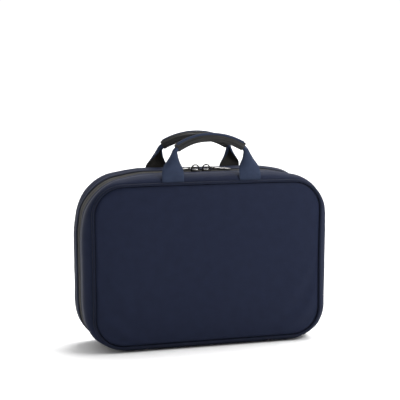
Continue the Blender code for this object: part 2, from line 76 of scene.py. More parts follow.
case = {
    "crown": 4 * mm,  # swell of each padded panel past its seam
    "cornerRadius": 32 * mm,  # of the panel seam
    "seamGap": 0.3 * mm,
    "walkStep": 2.4 * mm,
    "arcSteps": 26,
    "cornerDroop": 0.8 * mm,  # how far the top corners settle below the middle
    "waist": 0.9 * mm,  # how far the right side pulls in at half height; the left does by half of it
    "sideSwell": 4.25 * mm,  # how much further the sides and the top bulge than the flattened bottom
    "swellStart": 35 * mm,  # from the middle of the bag towards a panel
    "swellReach": 12 * mm,
    "backRise": 2.7 * mm,  # the back of the top stands a little higher than its front
    "backRiseLeft": 0.6 * mm,
    # How much less the bands bulge where they turn a corner, and how far along and up that reaches
    "topCorner": (8.8 * mm, 70 * mm, 58 * mm),
    "rightTopCorner": (7.5 * mm, 62 * mm, 42 * mm),
    "bottomCorner": (6.0 * mm, 46 * mm, 50 * mm),
    "rightBottomCorner": (1.5 * mm, 40 * mm, 40 * mm),
    "sideSink": 1.6 * mm,  # how far the zip lies back between the two bands on the sides
    # Where each of these begins and where it is complete, from the middle of the bag
    "droopAcross": (62 * mm, 128 * mm),
    "waistAcross": (70 * mm, 130 * mm),
    "waistDepth": (27 * mm, 35 * mm),
    "riseDepth": (4 * mm, 22 * mm),
    "riseLeft": (-40 * mm, 90 * mm),
    "riseLeftEnd": (150 * mm, 100 * mm),
    "halfTurn": (-20 * mm, 20 * mm),
    "backSeamShare": 0.45,  # of the corners' sink that stays at the back seam
    "seamDepth": 36 * mm,
}

panelLow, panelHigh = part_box("front_panel")
seamX = panelHigh[0] + case["seamGap"]
seamBottom = panelLow[2] - case["seamGap"]
seamTop = panelHigh[2] + case["seamGap"]
seamMiddle = (seamTop + seamBottom) / 2
seamY = -panelLow[1] - case["crown"]
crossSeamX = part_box("bottom_gusset")[1][0] + case["seamGap"]


# Shader recipes. A Wire is one socket of a material, so that sums read as sums.
class Wire:
    def __init__(self, recipe, socket):
        self.recipe = recipe
        self.socket = socket

    def combine(self, operation, first, second):
        return self.recipe.add("ShaderNodeMath", {"operation": operation}, {0: first, 1: second})

    def __add__(self, other):
        return self.combine("ADD", self, other)

    def __radd__(self, other):
        return self.combine("ADD", other, self)

    def __mul__(self, other):
        return self.combine("MULTIPLY", self, other)


class Recipe:
    def __init__(self, tree, shader, **fixed):
        self.tree = tree
        self.shader = tree.nodes[shader]
        for label, value in fixed.items():
            self.shader.inputs[label.replace("_", " ")].default_value = value

    def add(self, kind, settings=None, inputs=None, output=0):
        given = {}
        for label, value in (inputs or {}).items():
            given[label] = value.socket if isinstance(value, Wire) else value
        return Wire(self, addNode(self.tree, kind, settings, given).outputs[output])

    def feed(self, label, wire):
        self.tree.links.new(wire.socket, self.shader.inputs[label])

    def placeOn(self, source):
        # source is "Object" for a pattern in space, or "UV" for one that follows the cloth, in millimetres
        start = self.add("ShaderNodeTexCoord", output=source)
        return self.add("ShaderNodeMapping", inputs={"Vector": start, "Scale": (1000, 1000, 1000)})

    def noise(self, where, scale, detail=3.0, rough=0.55):
        sizes = {"Vector": where, "Scale": scale, "Detail": detail, "Roughness": rough}
        return self.add("ShaderNodeTexNoise", inputs=sizes)

    def wave(self, where, scale, direction="X", distortion=0.0):
        look = {"wave_type": "BANDS", "bands_direction": direction, "wave_profile": "SIN"}
        sizes = {"Vector": where, "Scale": scale, "Distortion": distortion}
        return self.add("ShaderNodeTexWave", look, sizes)

    def tint(self, factor, first, second):
        mix = {"data_type": "RGBA"}
        return self.add("ShaderNodeMix", mix, {0: factor, 6: (*first, 1), 7: (*second, 1)}, output=2)

    def raiseFrom(self, height, strength, depth):
        sizes = {"Height": height, "Strength": strength, "Distance": depth}
        self.feed("Normal", self.add("ShaderNodeBump", inputs=sizes))


def newMaterial(name, **fixed):
    material = bpy.data.materials.new(name)
    material.use_nodes = True
    recipe = Recipe(material.node_tree, "Principled BSDF", **fixed)
    recipe.material = material
    return recipe


looks = {
    "softshell": {"dark": (0.0076, 0.0105, 0.0245), "light": (0.0104, 0.0142, 0.0318), "rough": 0.60},
    "piping": {"dark": (0.0056, 0.0074, 0.0160), "light": (0.0088, 0.0118, 0.0250), "rough": 0.7},
    "webbing": {"dark": (0.0150, 0.0210, 0.0400), "light": (0.0280, 0.0380, 0.0680), "rough": 0.78},
    "webbingBack": {"dark": (0.0190, 0.0182, 0.0165), "light": (0.0380, 0.0362, 0.0330), "rough": 0.85},
    "leather": {"dark": (0.0046, 0.0046, 0.0047), "light": (0.0100, 0.0099, 0.0097), "rough": 0.5},
    "tape": {"dark": (0.0140, 0.0136, 0.0130), "light": (0.0390, 0.0374, 0.0350), "rough": 0.85},
    "lining": {"dark": (0.0650, 0.0700, 0.0820), "light": (0.1150, 0.1230, 0.1400), "rough": 0.7},
    "binding": {"dark": (0.0120, 0.0130, 0.0170), "light": (0.0280, 0.0300, 0.0370), "rough": 0.8},
    "elastic": {"dark": (0.0100, 0.0105, 0.0130), "light": (0.0320, 0.0330, 0.0380), "rough": 0.82},
}
weaves = {
    # Directions of the threads and of the ones across them, how fine those are, their share, the unevenness
    "twill": ("DIAGONAL", "X", 1.7, 0.4, 0.6),
    "ribs": ("X", "Y", 0.5, 0.25, 0.0),
    "plain": ("X", "Y", 1.0, 0.5, 0.0),
}


def makeCloth(name, weave, fineness, bumpDepth, sheen=0.02, source="UV", shine=0.06):
    # Woven or knitted cloth: threads in two directions, a soft mottle and a little sheen.
    look = looks[name]
    recipe = newMaterial(name, Roughness=look["rough"], Sheen_Weight=sheen, Sheen_Roughness=0.45,
                         Specular_IOR_Level=shine)
    where = recipe.placeOn(source)
    mottle = recipe.noise(where, 0.09, 4.0)
    grit = recipe.noise(where, 2.2, 2.0)
    along, across, ratio, share, uneven = weaves[weave]
    threads = recipe.wave(where, fineness, along, uneven)
    crossing = recipe.wave(where, fineness * ratio, across, uneven)
    height = threads * (1 - share) + crossing * share
    shade = mottle * 0.6 + height * 0.12 + grit * 0.28
    ramp = recipe.add("ShaderNodeMapRange", inputs={"Value": shade, "From Min": 0.3, "From Max": 0.7})
    recipe.feed("Base Color", recipe.tint(ramp, look["dark"], look["light"]))
    recipe.feed("Roughness", look["rough"] - 0.08 + mottle * 0.16)
    recipe.raiseFrom(height * 0.75 + grit * 0.35, 0.55, bumpDepth)
    return recipe.material


def makeLeather():
    look = looks["leather"]
    recipe = newMaterial("charcoalLeather", Specular_IOR_Level=0.25)
    where = recipe.placeOn("UV")
    cells = recipe.add("ShaderNodeTexVoronoi", {"feature": "F1"}, {"Vector": where, "Scale": 1.5})
    grooves = recipe.wave(where, 0.20, "Y", 0.4)
    wear = recipe.noise(where, 0.12, 4.0)
    shade = wear * 0.6 + grooves * 0.4
    recipe.feed("Base Color", recipe.tint(shade, look["dark"], look["light"]))
    recipe.feed("Roughness", 0.40 + wear * 0.24)
    recipe.raiseFrom(cells * 0.35 + grooves * 0.9, 0.6, 0.35 * mm)
    return recipe.material


def makeMetal(name, colour, rough, rim=1.0):
    recipe = newMaterial(name, Base_Color=(*colour, 1), Metallic=1.0, Specular_Tint=(rim, rim, rim, 1))
    where = recipe.placeOn("Object")
    smears = recipe.noise(where, 0.35, 5.0)
    recipe.feed("Roughness", rough + smears * 0.14)
    recipe.raiseFrom(recipe.noise(where, 4.0), 0.12, 0.05 * mm)
    return recipe.material


def makePlastic(name, colour, rough):
    recipe = newMaterial(name, Base_Color=(*colour, 1), Specular_IOR_Level=0.3)
    where = recipe.placeOn("Object")
    grain = recipe.noise(where, 1.6, 4.0)
    recipe.feed("Roughness", rough - 0.1 + grain * 0.2)
    recipe.raiseFrom(grain, 0.3, 0.08 * mm)
    return recipe.material


def makeNet():
    # Open knit: round holes in staggered rows.
    recipe = newMaterial("blackNet", Roughness=0.8, Specular_IOR_Level=0.15)
    where = recipe.placeOn("UV")
    cells = recipe.add(
        "ShaderNodeTexVoronoi", {"feature": "F1"}, {"Vector": where, "Scale": 0.5, "Randomness": 0.12}
    )
    thread = recipe.add("ShaderNodeMapRange", inputs={"Value": cells, "From Min": 0.30, "From Max": 0.36})
    recipe.feed("Alpha", thread)
    recipe.feed("Base Color", recipe.tint(thread, (0.012, 0.012, 0.014), (0.032, 0.032, 0.038)))
    recipe.raiseFrom(thread, 0.5, 0.3 * mm)
    return recipe.material


def makeAllLooks():
    return {
        "softshell": makeCloth("softshell", "twill", 0.55, 0.10 * mm),
        "piping": makeCloth("piping", "twill", 0.5, 0.10 * mm, source="Object"),
        "webbing": makeCloth("webbing", "twill", 0.24, 0.14 * mm, 0.05),
        "webbingBack": makeCloth("webbingBack", "twill", 0.16, 0.25 * mm),
        "tape": makeCloth("tape", "ribs", 0.26, 0.30 * mm, 0.05),
        "lining": makeCloth("lining", "plain", 0.45, 0.08 * mm, 0.1),
        "binding": makeCloth("binding", "ribs", 0.25, 0.25 * mm),
        "elastic": makeCloth("elastic", "ribs", 0.20, 0.40 * mm),
        "leather": makeLeather(),
        "gunmetal": makeMetal("gunmetal", (0.040, 0.039, 0.037), 0.34, 0.12),
        "brightMetal": makeMetal("brightMetal", (0.50, 0.49, 0.475), 0.18),
        "coil": makePlastic("blackCoil", (0.016, 0.016, 0.017), 0.42),
        "rubber": makePlastic("blackRubber", (0.010, 0.010, 0.010), 0.55),
        "net": makeNet(),
    }


# Shapes shared by the pieces
def newObject(name, data):
    piece = bpy.data.objects.new(name, data)
    bpy.context.collection.objects.link(piece)
    return piece


def smoothStep(value, low, high):
    t = np.clip((value - low) / (high - low), 0, 1)
    return t * t * (3 - 2 * t)


def settle(points):
    # The filled bag stands a little slumped: its top corners droop and its sides pull in.
    height = (points[:, 2] - seamBottom) / (seamTop - seamBottom)
    side = np.abs(points[:, 0])
    half = np.where(points[:, 0] > 0, 1.0, 0.5)
    droop = case["cornerDroop"] * smoothStep(side, *case["droopAcross"]) * smoothStep(height, 0.55, 1.0)
    waist = case["waist"] * np.sin(np.pi * np.clip(height, 0, 1)) ** 2
    waist *= smoothStep(side, *case["waistAcross"])
    atSeam = smoothStep(np.abs(points[:, 1]), *case["waistDepth"])
    depth = smoothStep(points[:, 1], *case["riseDepth"])
    left = smoothStep(-points[:, 0], *case["riseLeft"]) * smoothStep(-points[:, 0], *case["riseLeftEnd"])
    rise = depth * smoothStep(height, 0.8, 1.0) * (case["backRise"] + case["backRiseLeft"] * left)
    moved = points.copy()
    moved[:, 2] += rise - droop
    moved[:, 0] -= np.sign(points[:, 0]) * waist * half * atSeam
    # Cloth pulled round a corner lies flatter than it does on the straight sides.
    level = points[:, 2] - seamMiddle
    upper = smoothStep(level, *case["halfTurn"])
    right = smoothStep(points[:, 0], *case["halfTurn"])
    names = ("bottomCorner", "rightBottomCorner", "topCorner", "rightTopCorner")
    shares = ((1 - right) * (1 - upper), right * (1 - upper), (1 - right) * upper, right * upper)
    sink, wide, tall = [sum(case[name][i] * share for name, share in zip(names, shares)) for i in range(3)]
    inX = np.maximum((side - seamX) / wide + 1, 0)
    inZ = np.maximum((np.abs(level) - (seamTop - seamBottom) / 2) / tall + 1, 0)
    corner = smoothStep(inX, 0, 1) * smoothStep(inZ, 0, 1)
    outX, outZ = inX / wide, inZ / tall
    away = np.maximum(np.hypot(outX, outZ), 1e-6)
    nearness = np.clip(np.abs(points[:, 1]) / case["seamDepth"], 0, 1) ** 4
    flat = sink * corner * (1 - nearness * np.where(points[:, 1] > 0, case["backSeamShare"], 1.0))
    moved[:, 0] -= np.sign(points[:, 0]) * outX / away * flat
    moved[:, 2] -= np.sign(level) * outZ / away * flat
    valley = smoothStep(side, seamX - 20 * mm, seamX - 2 * mm)
    valley *= (1 - smoothStep(np.abs(points[:, 1]), 6 * mm, 17 * mm)) * (1 - smoothStep(inZ, 0.2, 0.7))
    moved[:, 0] -= np.sign(points[:, 0]) * case["sideSink"] * valley
    return moved


def bulgeOut(outZ, y):
    # How far the filled bag bulges past its flattened bottom, for an outward direction and a depth.
    turn = np.clip((np.asarray(outZ) + 1) / 0.45, 0, 1)
    inward = np.clip((case["swellStart"] - np.abs(y)) / case["swellReach"], 0, 1)
    return case["sideSwell"] * turn * turn * (3 - 2 * turn) * (1 - (1 - inward) ** 2)


def walkSeam(part, stepLength=case["walkStep"], arcSteps=case["arcSteps"]):
    # Rows of x, z, outward x, outward z and length so far, along the panel seam.
    radius = case["cornerRadius"]
    reachX = seamX - radius
    reachZ = (seamTop - seamBottom) / 2 - radius
    rows = []

    def runTo(x, z, outX, outZ):
        lastX, lastZ = rows[-1][0], rows[-1][1]
        count = max(1, round(math.hypot(x - lastX, z - lastZ) / stepLength))
        for i in range(1, count + 1):
            t = i / count
            rows.append((lastX + (x - lastX) * t, lastZ + (z - lastZ) * t, outX, outZ))

    if part == "bottom":
        rows.append((-crossSeamX, seamBottom, 0, -1))
        runTo(crossSeamX, seamBottom, 0, -1)
    else:
        rows.append((crossSeamX if part == "arch" else 0, seamBottom, 0, -1))
        for sideX, sideZ, first in ((1, -1, -90), (1, 1, 0), (-1, 1, 90), (-1, -1, 180)):
            turn = math.radians(first)
            outX, outZ = math.cos(turn), math.sin(turn)
            middleX, middleZ = sideX * reachX, seamMiddle + sideZ * reachZ
            runTo(middleX + radius * outX, middleZ + radius * outZ, outX, outZ)
            for step in range(1, arcSteps + 1):
                turn = math.radians(first + 90 * step / arcSteps)
                outX, outZ = math.cos(turn), math.sin(turn)
                rows.append((middleX + radius * outX, middleZ + radius * outZ, outX, outZ))
        runTo(-crossSeamX if part == "arch" else 0, seamBottom, 0, -1)
        if part == "ring":
            rows.pop()
    rows = np.array(rows)
    steps = np.hypot(*np.diff(rows[:, :2], axis=0).T)
    return np.column_stack([rows, np.concatenate([[0], np.cumsum(steps)])])


def smoothLine(points, perSpan=4, closed=False):
    # A Catmull-Rom curve through points of any number of axes.
    points = np.array(points, float)
    count = len(points)
    spans = count if closed else count - 1
    out = []
    for i in range(spans):
        if closed:
            around = [points[(i + k) % count] for k in (-1, 0, 1, 2)]
        else:
            around = [points[min(max(i + k, 0), count - 1)] for k in (-1, 0, 1, 2)]
        before, start, end, after = around
        for step in range(perSpan):
            t = step / perSpan
            out.append(0.5 * (
                2 * start + (end - before) * t
                + (2 * before - 5 * start + 4 * end - after) * t * t
                + (3 * start - before - 3 * end + after) * t ** 3
            ))
    if not closed:
        out.append(points[-1])
    return np.array(out)


def finishMesh(name, points, faces, corners, materials, slots=None, sharp=50):
    mesh = bpy.data.meshes.new(name)
    mesh.from_pydata([tuple(point) for point in points], [], faces)
    layer = mesh.uv_layers.new(name="wrap")
    flat = [value for face in corners for pair in face for value in pair]
    layer.data.foreach_set("uv", flat)
    for material in materials:
        mesh.materials.append(material)
    if slots is not None:
        mesh.polygons.foreach_set("material_index", slots)
    bm = bmesh.new()
    bm.from_mesh(mesh)
    bmesh.ops.recalc_face_normals(bm, faces=bm.faces)
    bm.to_mesh(mesh)
    bm.free()
    mesh.shade_smooth()
    mesh.set_sharp_from_angle(angle=math.radians(sharp))
    return newObject(name, mesh)


def weaveRows(grid, lengths, acrosses, ringLong, ringWide):
    # Quads over a grid of points [along, across], with UVs in metres of cloth.
    along, across = grid.shape[:2]
    faces, corners = [], []
    for i in range(along if ringLong else along - 1):
        k = (i + 1) % along
        for j in range(across if ringWide else across - 1):
            m = (j + 1) % across
            faces.append((i * across + j, k * across + j, k * across + m, i * across + m))
            u0, u1 = lengths[i], lengths[i + 1]
            v0, v1 = acrosses[j], acrosses[j + 1]
            corners.append(((u0, v0), (u1, v0), (u1, v1), (u0, v1)))
    return faces, corners


def runLengths(points, closed):
    steps = np.linalg.norm(np.diff(points, axis=0), axis=1)
    lengths = np.concatenate([[0], np.cumsum(steps)])
    if closed:
        lengths = np.append(lengths, lengths[-1] + np.linalg.norm(points[0] - points[-1]))
    return lengths


def sweepStrip(name, path, profile, material, ring=False, dents=None, trim=None):
    # Sweeps a closed (y, r) profile along the seam. dents says how far each point of the grid moves out,
    # and trim is another material with the part of the profile that has it.
    profile = np.array(profile)
    grid = np.zeros((len(path), len(profile), 3))
    stand = np.tile(profile[:, 1], (len(path), 1))
    if not ring:
        stand += bulgeOut(path[:, None, 3], profile[None, :, 0])
    if dents is not None:
        stand = stand + dents
    grid[:, :, 0] = path[:, None, 0] + path[:, None, 2] * stand
    grid[:, :, 1] = profile[None, :, 0]
    grid[:, :, 2] = path[:, None, 1] + path[:, None, 3] * stand
    lengths = list(path[:, 4])
    if ring:
        lengths.append(lengths[-1] + math.dist(path[0, :2], path[-1, :2]))
    acrosses = runLengths(profile, True)
    faces, corners = weaveRows(grid, lengths, acrosses, ring, True)
    wide = len(profile)
    materials, slots = [material], [0] * len(faces)
    if trim:
        materials.append(trim[0])
        slots = [int(trim[1] <= face[0] % wide < trim[2]) for face in faces]
    if not ring:
        for row in (0, len(path) - 1):
            faces.append(tuple(row * wide + j for j in range(wide)))
            corners.append(tuple(tuple(point) for point in profile))
            slots.append(0)
    points = settle(grid.reshape(-1, 3))
    return finishMesh(name, points, faces, corners, materials, slots)


def turned(profile, side):
    # Profiles are written for the front half; side 1 turns one to the back half.
    return [(-side * y, r) for y, r in profile]


def declareBody(piece, body, slotName, *nodes):
    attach(piece, body)
    if nodes:
        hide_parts(*nodes)
    return piece


# Repeated shapes come from small Geometry Nodes trees.
def newTree(name, sizes):
    tree = bpy.data.node_groups.new(name, "GeometryNodeTree")
    tree.interface.new_socket("Geometry", in_out="INPUT", socket_type="NodeSocketGeometry")
    tree.interface.new_socket("Geometry", in_out="OUTPUT", socket_type="NodeSocketGeometry")
    for label, value in sizes.items():
        socket = tree.interface.new_socket(label, in_out="INPUT", socket_type="NodeSocketFloat")
        socket.default_value = value
    return tree


def addNode(tree, kind, settings=None, inputs=None):
    node = tree.nodes.new(kind)
    for label, value in (settings or {}).items():
        setattr(node, label, value)
    for label, value in (inputs or {}).items():
        if isinstance(value, bpy.types.NodeSocket):
            tree.links.new(value, node.inputs[label])
        else:
            node.inputs[label].default_value = value
    return node


def runTree(piece, tree, sizes):
    # Sets the inputs by identifier, makes the result a plain mesh and drops the modifier.
    modifier = piece.modifiers.new(tree.name, "NODES")
    modifier.node_group = tree
    for item in tree.interface.items_tree:
        if item.item_type == "SOCKET" and item.in_out == "INPUT" and item.name in sizes:
            modifier[item.identifier] = sizes[item.name]
    graph = bpy.context.evaluated_depsgraph_get()
    mesh = bpy.data.meshes.new_from_object(piece.evaluated_get(graph))
    name = piece.name
    bpy.data.objects.remove(piece)
    mesh.name = name
    return newObject(name, mesh)


def pathObject(name, points, closed=False):
    curve = bpy.data.curves.new(name, "CURVE")
    curve.dimensions = "3D"
    spline = curve.splines.new("POLY")
    spline.points.add(len(points) - 1)
    for target, point in zip(spline.points, points):
        target.co = (*point, 1)
    spline.use_cyclic_u = closed
    return newObject(name, curve)


def closeTree(tree, geometry, material):
    solid = addNode(tree, "GeometryNodeRealizeInstances", inputs={"Geometry": geometry})
    smooth = addNode(tree, "GeometryNodeSetShadeSmooth", inputs={"Geometry": solid.outputs[0]})
    painted = addNode(tree, "GeometryNodeSetMaterial", inputs={
        "Geometry": smooth.outputs[0], "Material": material,
    })
    end = addNode(tree, "NodeGroupOutput")
    tree.links.new(painted.outputs[0], end.inputs[0])


def coilTree(material):
    # Zip teeth: narrow loops set square to the path, each a small ring stretched across it.
    sizes = {"Pitch": 1.5 * mm, "Tooth Width": 2.0 * mm, "Tooth Height": 1.1 * mm, "Filament": 0.33 * mm}
    tree = newTree("zipCoil", sizes)
    start = addNode(tree, "NodeGroupInput")
    even = addNode(tree, "GeometryNodeResampleCurve", {"mode": "LENGTH"}, {
        "Curve": start.outputs["Geometry"], "Length": start.outputs["Pitch"],
    })
    ring = addNode(tree, "GeometryNodeCurvePrimitiveCircle", inputs={"Resolution": 8, "Radius": 1.0})
    width, height = [
        addNode(tree, "ShaderNodeMath", {"operation": "MULTIPLY"}, {0: start.outputs[label], 1: 0.5})
        for label in ("Tooth Width", "Tooth Height")
    ]
    shape = addNode(tree, "ShaderNodeCombineXYZ", inputs={
        "X": width.outputs[0], "Y": height.outputs[0], "Z": 1.0,
    })
    oval = addNode(tree, "GeometryNodeTransform", inputs={
        "Geometry": ring.outputs[0], "Scale": shape.outputs[0],
    })
    wire = addNode(tree, "GeometryNodeCurvePrimitiveCircle", inputs={
        "Resolution": 5, "Radius": start.outputs["Filament"],
    })
    tooth = addNode(tree, "GeometryNodeCurveToMesh", inputs={
        "Curve": oval.outputs[0], "Profile Curve": wire.outputs[0],
    })
    tangent = addNode(tree, "GeometryNodeInputTangent")
    turn = addNode(tree, "FunctionNodeAxesToRotation", {"primary_axis": "Z", "secondary_axis": "X"}, {
        "Primary Axis": tangent.outputs[0], "Secondary Axis": (0, 1, 0),
    })
    copies = addNode(tree, "GeometryNodeInstanceOnPoints", inputs={
        "Points": even.outputs[0], "Instance": tooth.outputs[0], "Rotation": turn.outputs[0],
    })
    closeTree(tree, copies.outputs[0], material)
    return tree


def pipingTree(material):
    # A covered cord of even thickness along a closed path.
    tree = newTree("pipingCord", {"Cord Radius": 1.5 * mm, "Step": 2.4 * mm})
    start = addNode(tree, "NodeGroupInput")
    even = addNode(tree, "GeometryNodeResampleCurve", {"mode": "LENGTH"}, {
        "Curve": start.outputs["Geometry"], "Length": start.outputs["Step"],
    })
    round_ = addNode(tree, "GeometryNodeCurvePrimitiveCircle", inputs={
        "Resolution": 14, "Radius": start.outputs["Cord Radius"],
    })
    cord = addNode(tree, "GeometryNodeCurveToMesh", inputs={
        "Curve": even.outputs[0], "Profile Curve": round_.outputs[0],
    })
    closeTree(tree, cord.outputs[0], material)
    return tree


def alongPath(path, y, r):
    # Points on the settled bag at (y, r) of every row of the path.
    r = r + bulgeOut(path[:, 3], y)
    points = np.column_stack([
        path[:, 0] + path[:, 2] * r, np.full(len(path), y), path[:, 1] + path[:, 3] * r,
    ])
    return settle(points)


look = makeAllLooks()
print("looks made")


# Case shells: padded panels, gussets, zip tapes and what lines them
panels = {
    "fullness": 0.55,
    "surplus": 0.006,  # extra cloth in the cover, which lets it ripple
    "puffPressure": 1.4,
    "frames": 26,
    "gridStep": 4.2 * mm,
    "gridArc": 12,
    "ringWidth": 30 * mm,  # of the part of the grid that follows the seam
    "skinEdge": 0.3 * mm,
    "crownReach": 38 * mm,
    "liningInset": 4 * mm,
    "foam": 4.2 * mm,
    "smoothShare": 0.75,  # of the swell that comes from the foam's form, the rest from the cloth's run
    "unevenness": 0.45 * mm,
    "pucker": 0.30 * mm,  # beside the seam
    "roll": (1.1 * mm, 2.4 * mm),  # how far the cover turns in at the seam, and from how far inside it
    "narrowing": 2.4 * mm,  # of the foam's back
    "liningWave": 0.35 * mm,
}


def panelGrid(edgeInset):
    # Rings from the seam inwards to a rectangle, then rows across the rectangle.
    arc = panels["gridArc"]
    seam = walkSeam("ring", panels["gridStep"], arc)
    outline = seam[:, :2] - seam[:, 2:4] * edgeInset
    boxX = seamX - panels["ringWidth"]
    boxZ = (seamTop - seamBottom) / 2 - panels["ringWidth"]
    # The ring starts at the middle of the bottom edge and turns towards +X.
    total = len(seam)
    halfX = (np.argmax(seam[:, 3] > -0.9999999) - 1) + arc // 2
    countX = 2 * halfX
    countZ = (total - 2 * countX) // 2
    rim = []
    for i in range(total):
        k = (i + halfX) % total
        if k <= countX:
            x, z = -boxX + 2 * boxX * k / countX, -boxZ
        elif k <= countX + countZ:
            x, z = boxX, -boxZ + 2 * boxZ * (k - countX) / countZ
        elif k <= 2 * countX + countZ:
            x, z = boxX - 2 * boxX * (k - countX - countZ) / countX, boxZ
        else:
            x, z = -boxX, boxZ - 2 * boxZ * (k - 2 * countX - countZ) / countZ
        rim.append((x, z + seamMiddle))
    rim = np.array(rim)
    depths = [0, 0.02, 0.05, 0.09, 0.15, 0.23, 0.33, 0.44, 0.56, 0.70, 0.85, 1.0]
    points = [outline * (1 - t) + rim * t for t in depths]
    faces = []
    for k in range(len(depths) - 1):
        for i in range(total):
            j = (i + 1) % total
            faces.append((k * total + i, k * total + j, (k + 1) * total + j, (k + 1) * total + i))
    flat = np.concatenate(points)
    lastRing = (len(depths) - 1) * total

    def place(a, b):
        # The number of a point of the inner rectangle, column a and row b.
        if b == 0:
            return lastRing + (a - halfX) % total
        if a == countX:
            return lastRing + (countX + b - halfX) % total
        if b == countZ:
            return lastRing + (2 * countX + countZ - a - halfX) % total
        if a == 0:
            return lastRing + (2 * countX + 2 * countZ - b - halfX) % total
        return len(flat) + (b - 1) * (countX - 1) + a - 1

    inner = []
    for b in range(1, countZ):
        for a in range(1, countX):
            inner.append((-boxX + 2 * boxX * a / countX, seamMiddle - boxZ + 2 * boxZ * b / countZ))
    for b in range(countZ):
        for a in range(countX):
            faces.append((place(a, b), place(a + 1, b), place(a + 1, b + 1), place(a, b + 1)))
    return np.concatenate([flat, np.array(inner)]), faces, total


def seamDistance(points):
    # How far a point of a panel is inside its seam.
    radius = case["cornerRadius"]
    x = np.abs(points[:, 0]) - (seamX - radius)
    z = np.abs(points[:, 1] - seamMiddle) - ((seamTop - seamBottom) / 2 - radius)
    outside = np.hypot(np.maximum(x, 0), np.maximum(z, 0))
    return radius - outside - np.minimum(np.maximum(x, z), 0)


def crownAt(distance):
    reach = panels["crownReach"]
    return case["crown"] * (1 - (1 - np.clip(distance, 0, reach) / reach) ** 2)


def runCloth(piece, pinned, settings, frames):
    # Lets the cloth move for some frames and returns where its points end up.
    group = piece.vertex_groups.new(name="sewn")
    group.add([int(i) for i in pinned], 1.0, "REPLACE")
    cloth = piece.modifiers.new("cloth", "CLOTH")
    cloth.settings.vertex_group_mass = "sewn"
    for label, value in settings.items():
        setattr(cloth.settings, label, value)
    cloth.point_cache.frame_end = frames
    scene = bpy.context.scene
    for frame in range(1, frames + 1):
        scene.frame_set(frame)
    graph = bpy.context.evaluated_depsgraph_get()
    mesh = piece.evaluated_get(graph).to_mesh()
    points = np.empty(len(mesh.vertices) * 3, np.float32)
    mesh.vertices.foreach_get("co", points)
    scene.frame_set(1)
    bpy.data.objects.remove(piece)
    return points.reshape(-1, 3).astype(float)


def puffCover(flat, faces, rimCount):
    # The swell of a cover sewn down all round over foam: a height for each point.
    distance = seamDistance(flat)
    swell = crownAt(distance)
    mesh = bpy.data.meshes.new("cover")
    loose = 1 + panels["surplus"]
    start = [(x * loose, -0.4 * mm - 0.5 * s, seamMiddle + (z - seamMiddle) * loose)
             for (x, z), s in zip(flat, swell)]
    mesh.from_pydata(start, [], faces)
    cover = newObject("cover", mesh)
    settings = {
        "quality": 6, "mass": 0.25, "tension_stiffness": 25, "compression_stiffness": 25,
        "shear_stiffness": 8, "bending_stiffness": 0.8, "use_pressure": True,
        "uniform_pressure_force": -panels["puffPressure"], "air_damping": 3,
    }
    ended = runCloth(cover, range(rimCount), settings, panels["frames"])
    height = np.abs(ended[:, 1])
    inner = distance > panels["ringWidth"]
    puffed = height * case["crown"] / max(height[inner].mean(), 1e-6)
    print("cover swells", round(float(height[inner].mean()) * 1000, 2), "mm before it is evened out")
    # Foam keeps the broad form; the cloth adds its own unevenness.
    share = panels["smoothShare"]
    return swell * share + np.clip(puffed, 0, 1.5 * case["crown"]) * (1 - share)


def doubleSheet(flat, faces, rim, first, second):
    # A sheet's points at two depths, its faces on both sides and round its rim, and their UVs.
    count = len(flat)
    points = np.zeros((2 * count, 3))
    points[:, 0] = np.tile(flat[:, 0], 2)
    points[:, 1] = np.concatenate([first, second])
    points[:, 2] = np.tile(flat[:, 1], 2)
    allFaces = list(faces) + [tuple(i + count for i in reversed(face)) for face in faces]
    for i, start in enumerate(rim):
        end = rim[(i + 1) % len(rim)]
        allFaces.append((start, start + count, end + count, end))
    corners = [tuple(tuple(flat[i % count]) for i in face) for face in allFaces]
    return points, allFaces, corners


def makePanel(half, side):
    flat, faces, rimCount = panelGrid(panels["skinEdge"])
    swell = puffCover(flat, faces, rimCount)
    distance = seamDistance(flat)
    count = len(flat)
    lift = [noise.noise((x * 14, z * 14, 3.7 * side)) for x, z in flat]
    pucker = [noise.noise((x * 45, z * 45, 8.1 * side)) for x, z in flat]
    edge = 1 - smoothStep(distance, 2 * mm, 30 * mm)
    soft = np.array(lift) * panels["unevenness"] * smoothStep(distance, 0, 20 * mm)
    fine = np.array(pucker) * panels["pucker"] * edge * smoothStep(distance, 0, 4 * mm)
    rollDepth, rollFrom = panels["roll"]
    roll = rollDepth * np.sqrt(np.clip(1 - distance / rollFrom, 0, 1))
    outer = seamY + swell + soft + fine - roll
    inner = seamY + np.maximum(crownAt(distance) - panels["foam"], -panels["foam"])
    outer = np.minimum(outer, seamY + case["crown"] + 0.6 * mm)
    points, faces, corners = doubleSheet(flat, faces, range(rimCount), side * outer, side * inner)
    narrow = 1 - panels["narrowing"] / seamX
    points[count:, 0] *= narrow
    points[count:, 2] = seamMiddle + (points[count:, 2] - seamMiddle) * narrow
    panel = finishMesh(f"{half}_case_panel", settle(points), faces, corners, [look["softshell"]])
    modifier = panel.modifiers.new("smooth", "SUBSURF")
    modifier.levels = 1
    modifier.render_levels = 1
    declareBody(panel, f"{half}_half", "navy_softshell", f"{half}_panel", f"{half}_panel_foam")

    # The lining inside follows the foam's flat back.
    inset = panels["liningInset"]
    flat, faces, rimCount = panelGrid(inset)
    distance = seamDistance(flat)
    wave = np.array([noise.noise((x * 22, z * 22, 5.3 * side)) for x, z in flat]) * panels["liningWave"]
    face = seamY + crownAt(distance) - 4.9 * mm + wave * smoothStep(distance, 4 * mm, 14 * mm)
    points, faces, corners = doubleSheet(flat, faces, range(rimCount), side * (face + 0.2 * mm),
                                         side * (face - 0.4 * mm))
    lining = finishMesh(f"{half}_case_lining", settle(points), faces, corners, [look["lining"]])
    declareBody(lining, f"{half}_half", "grey_lining", f"{half}_panel_lining")


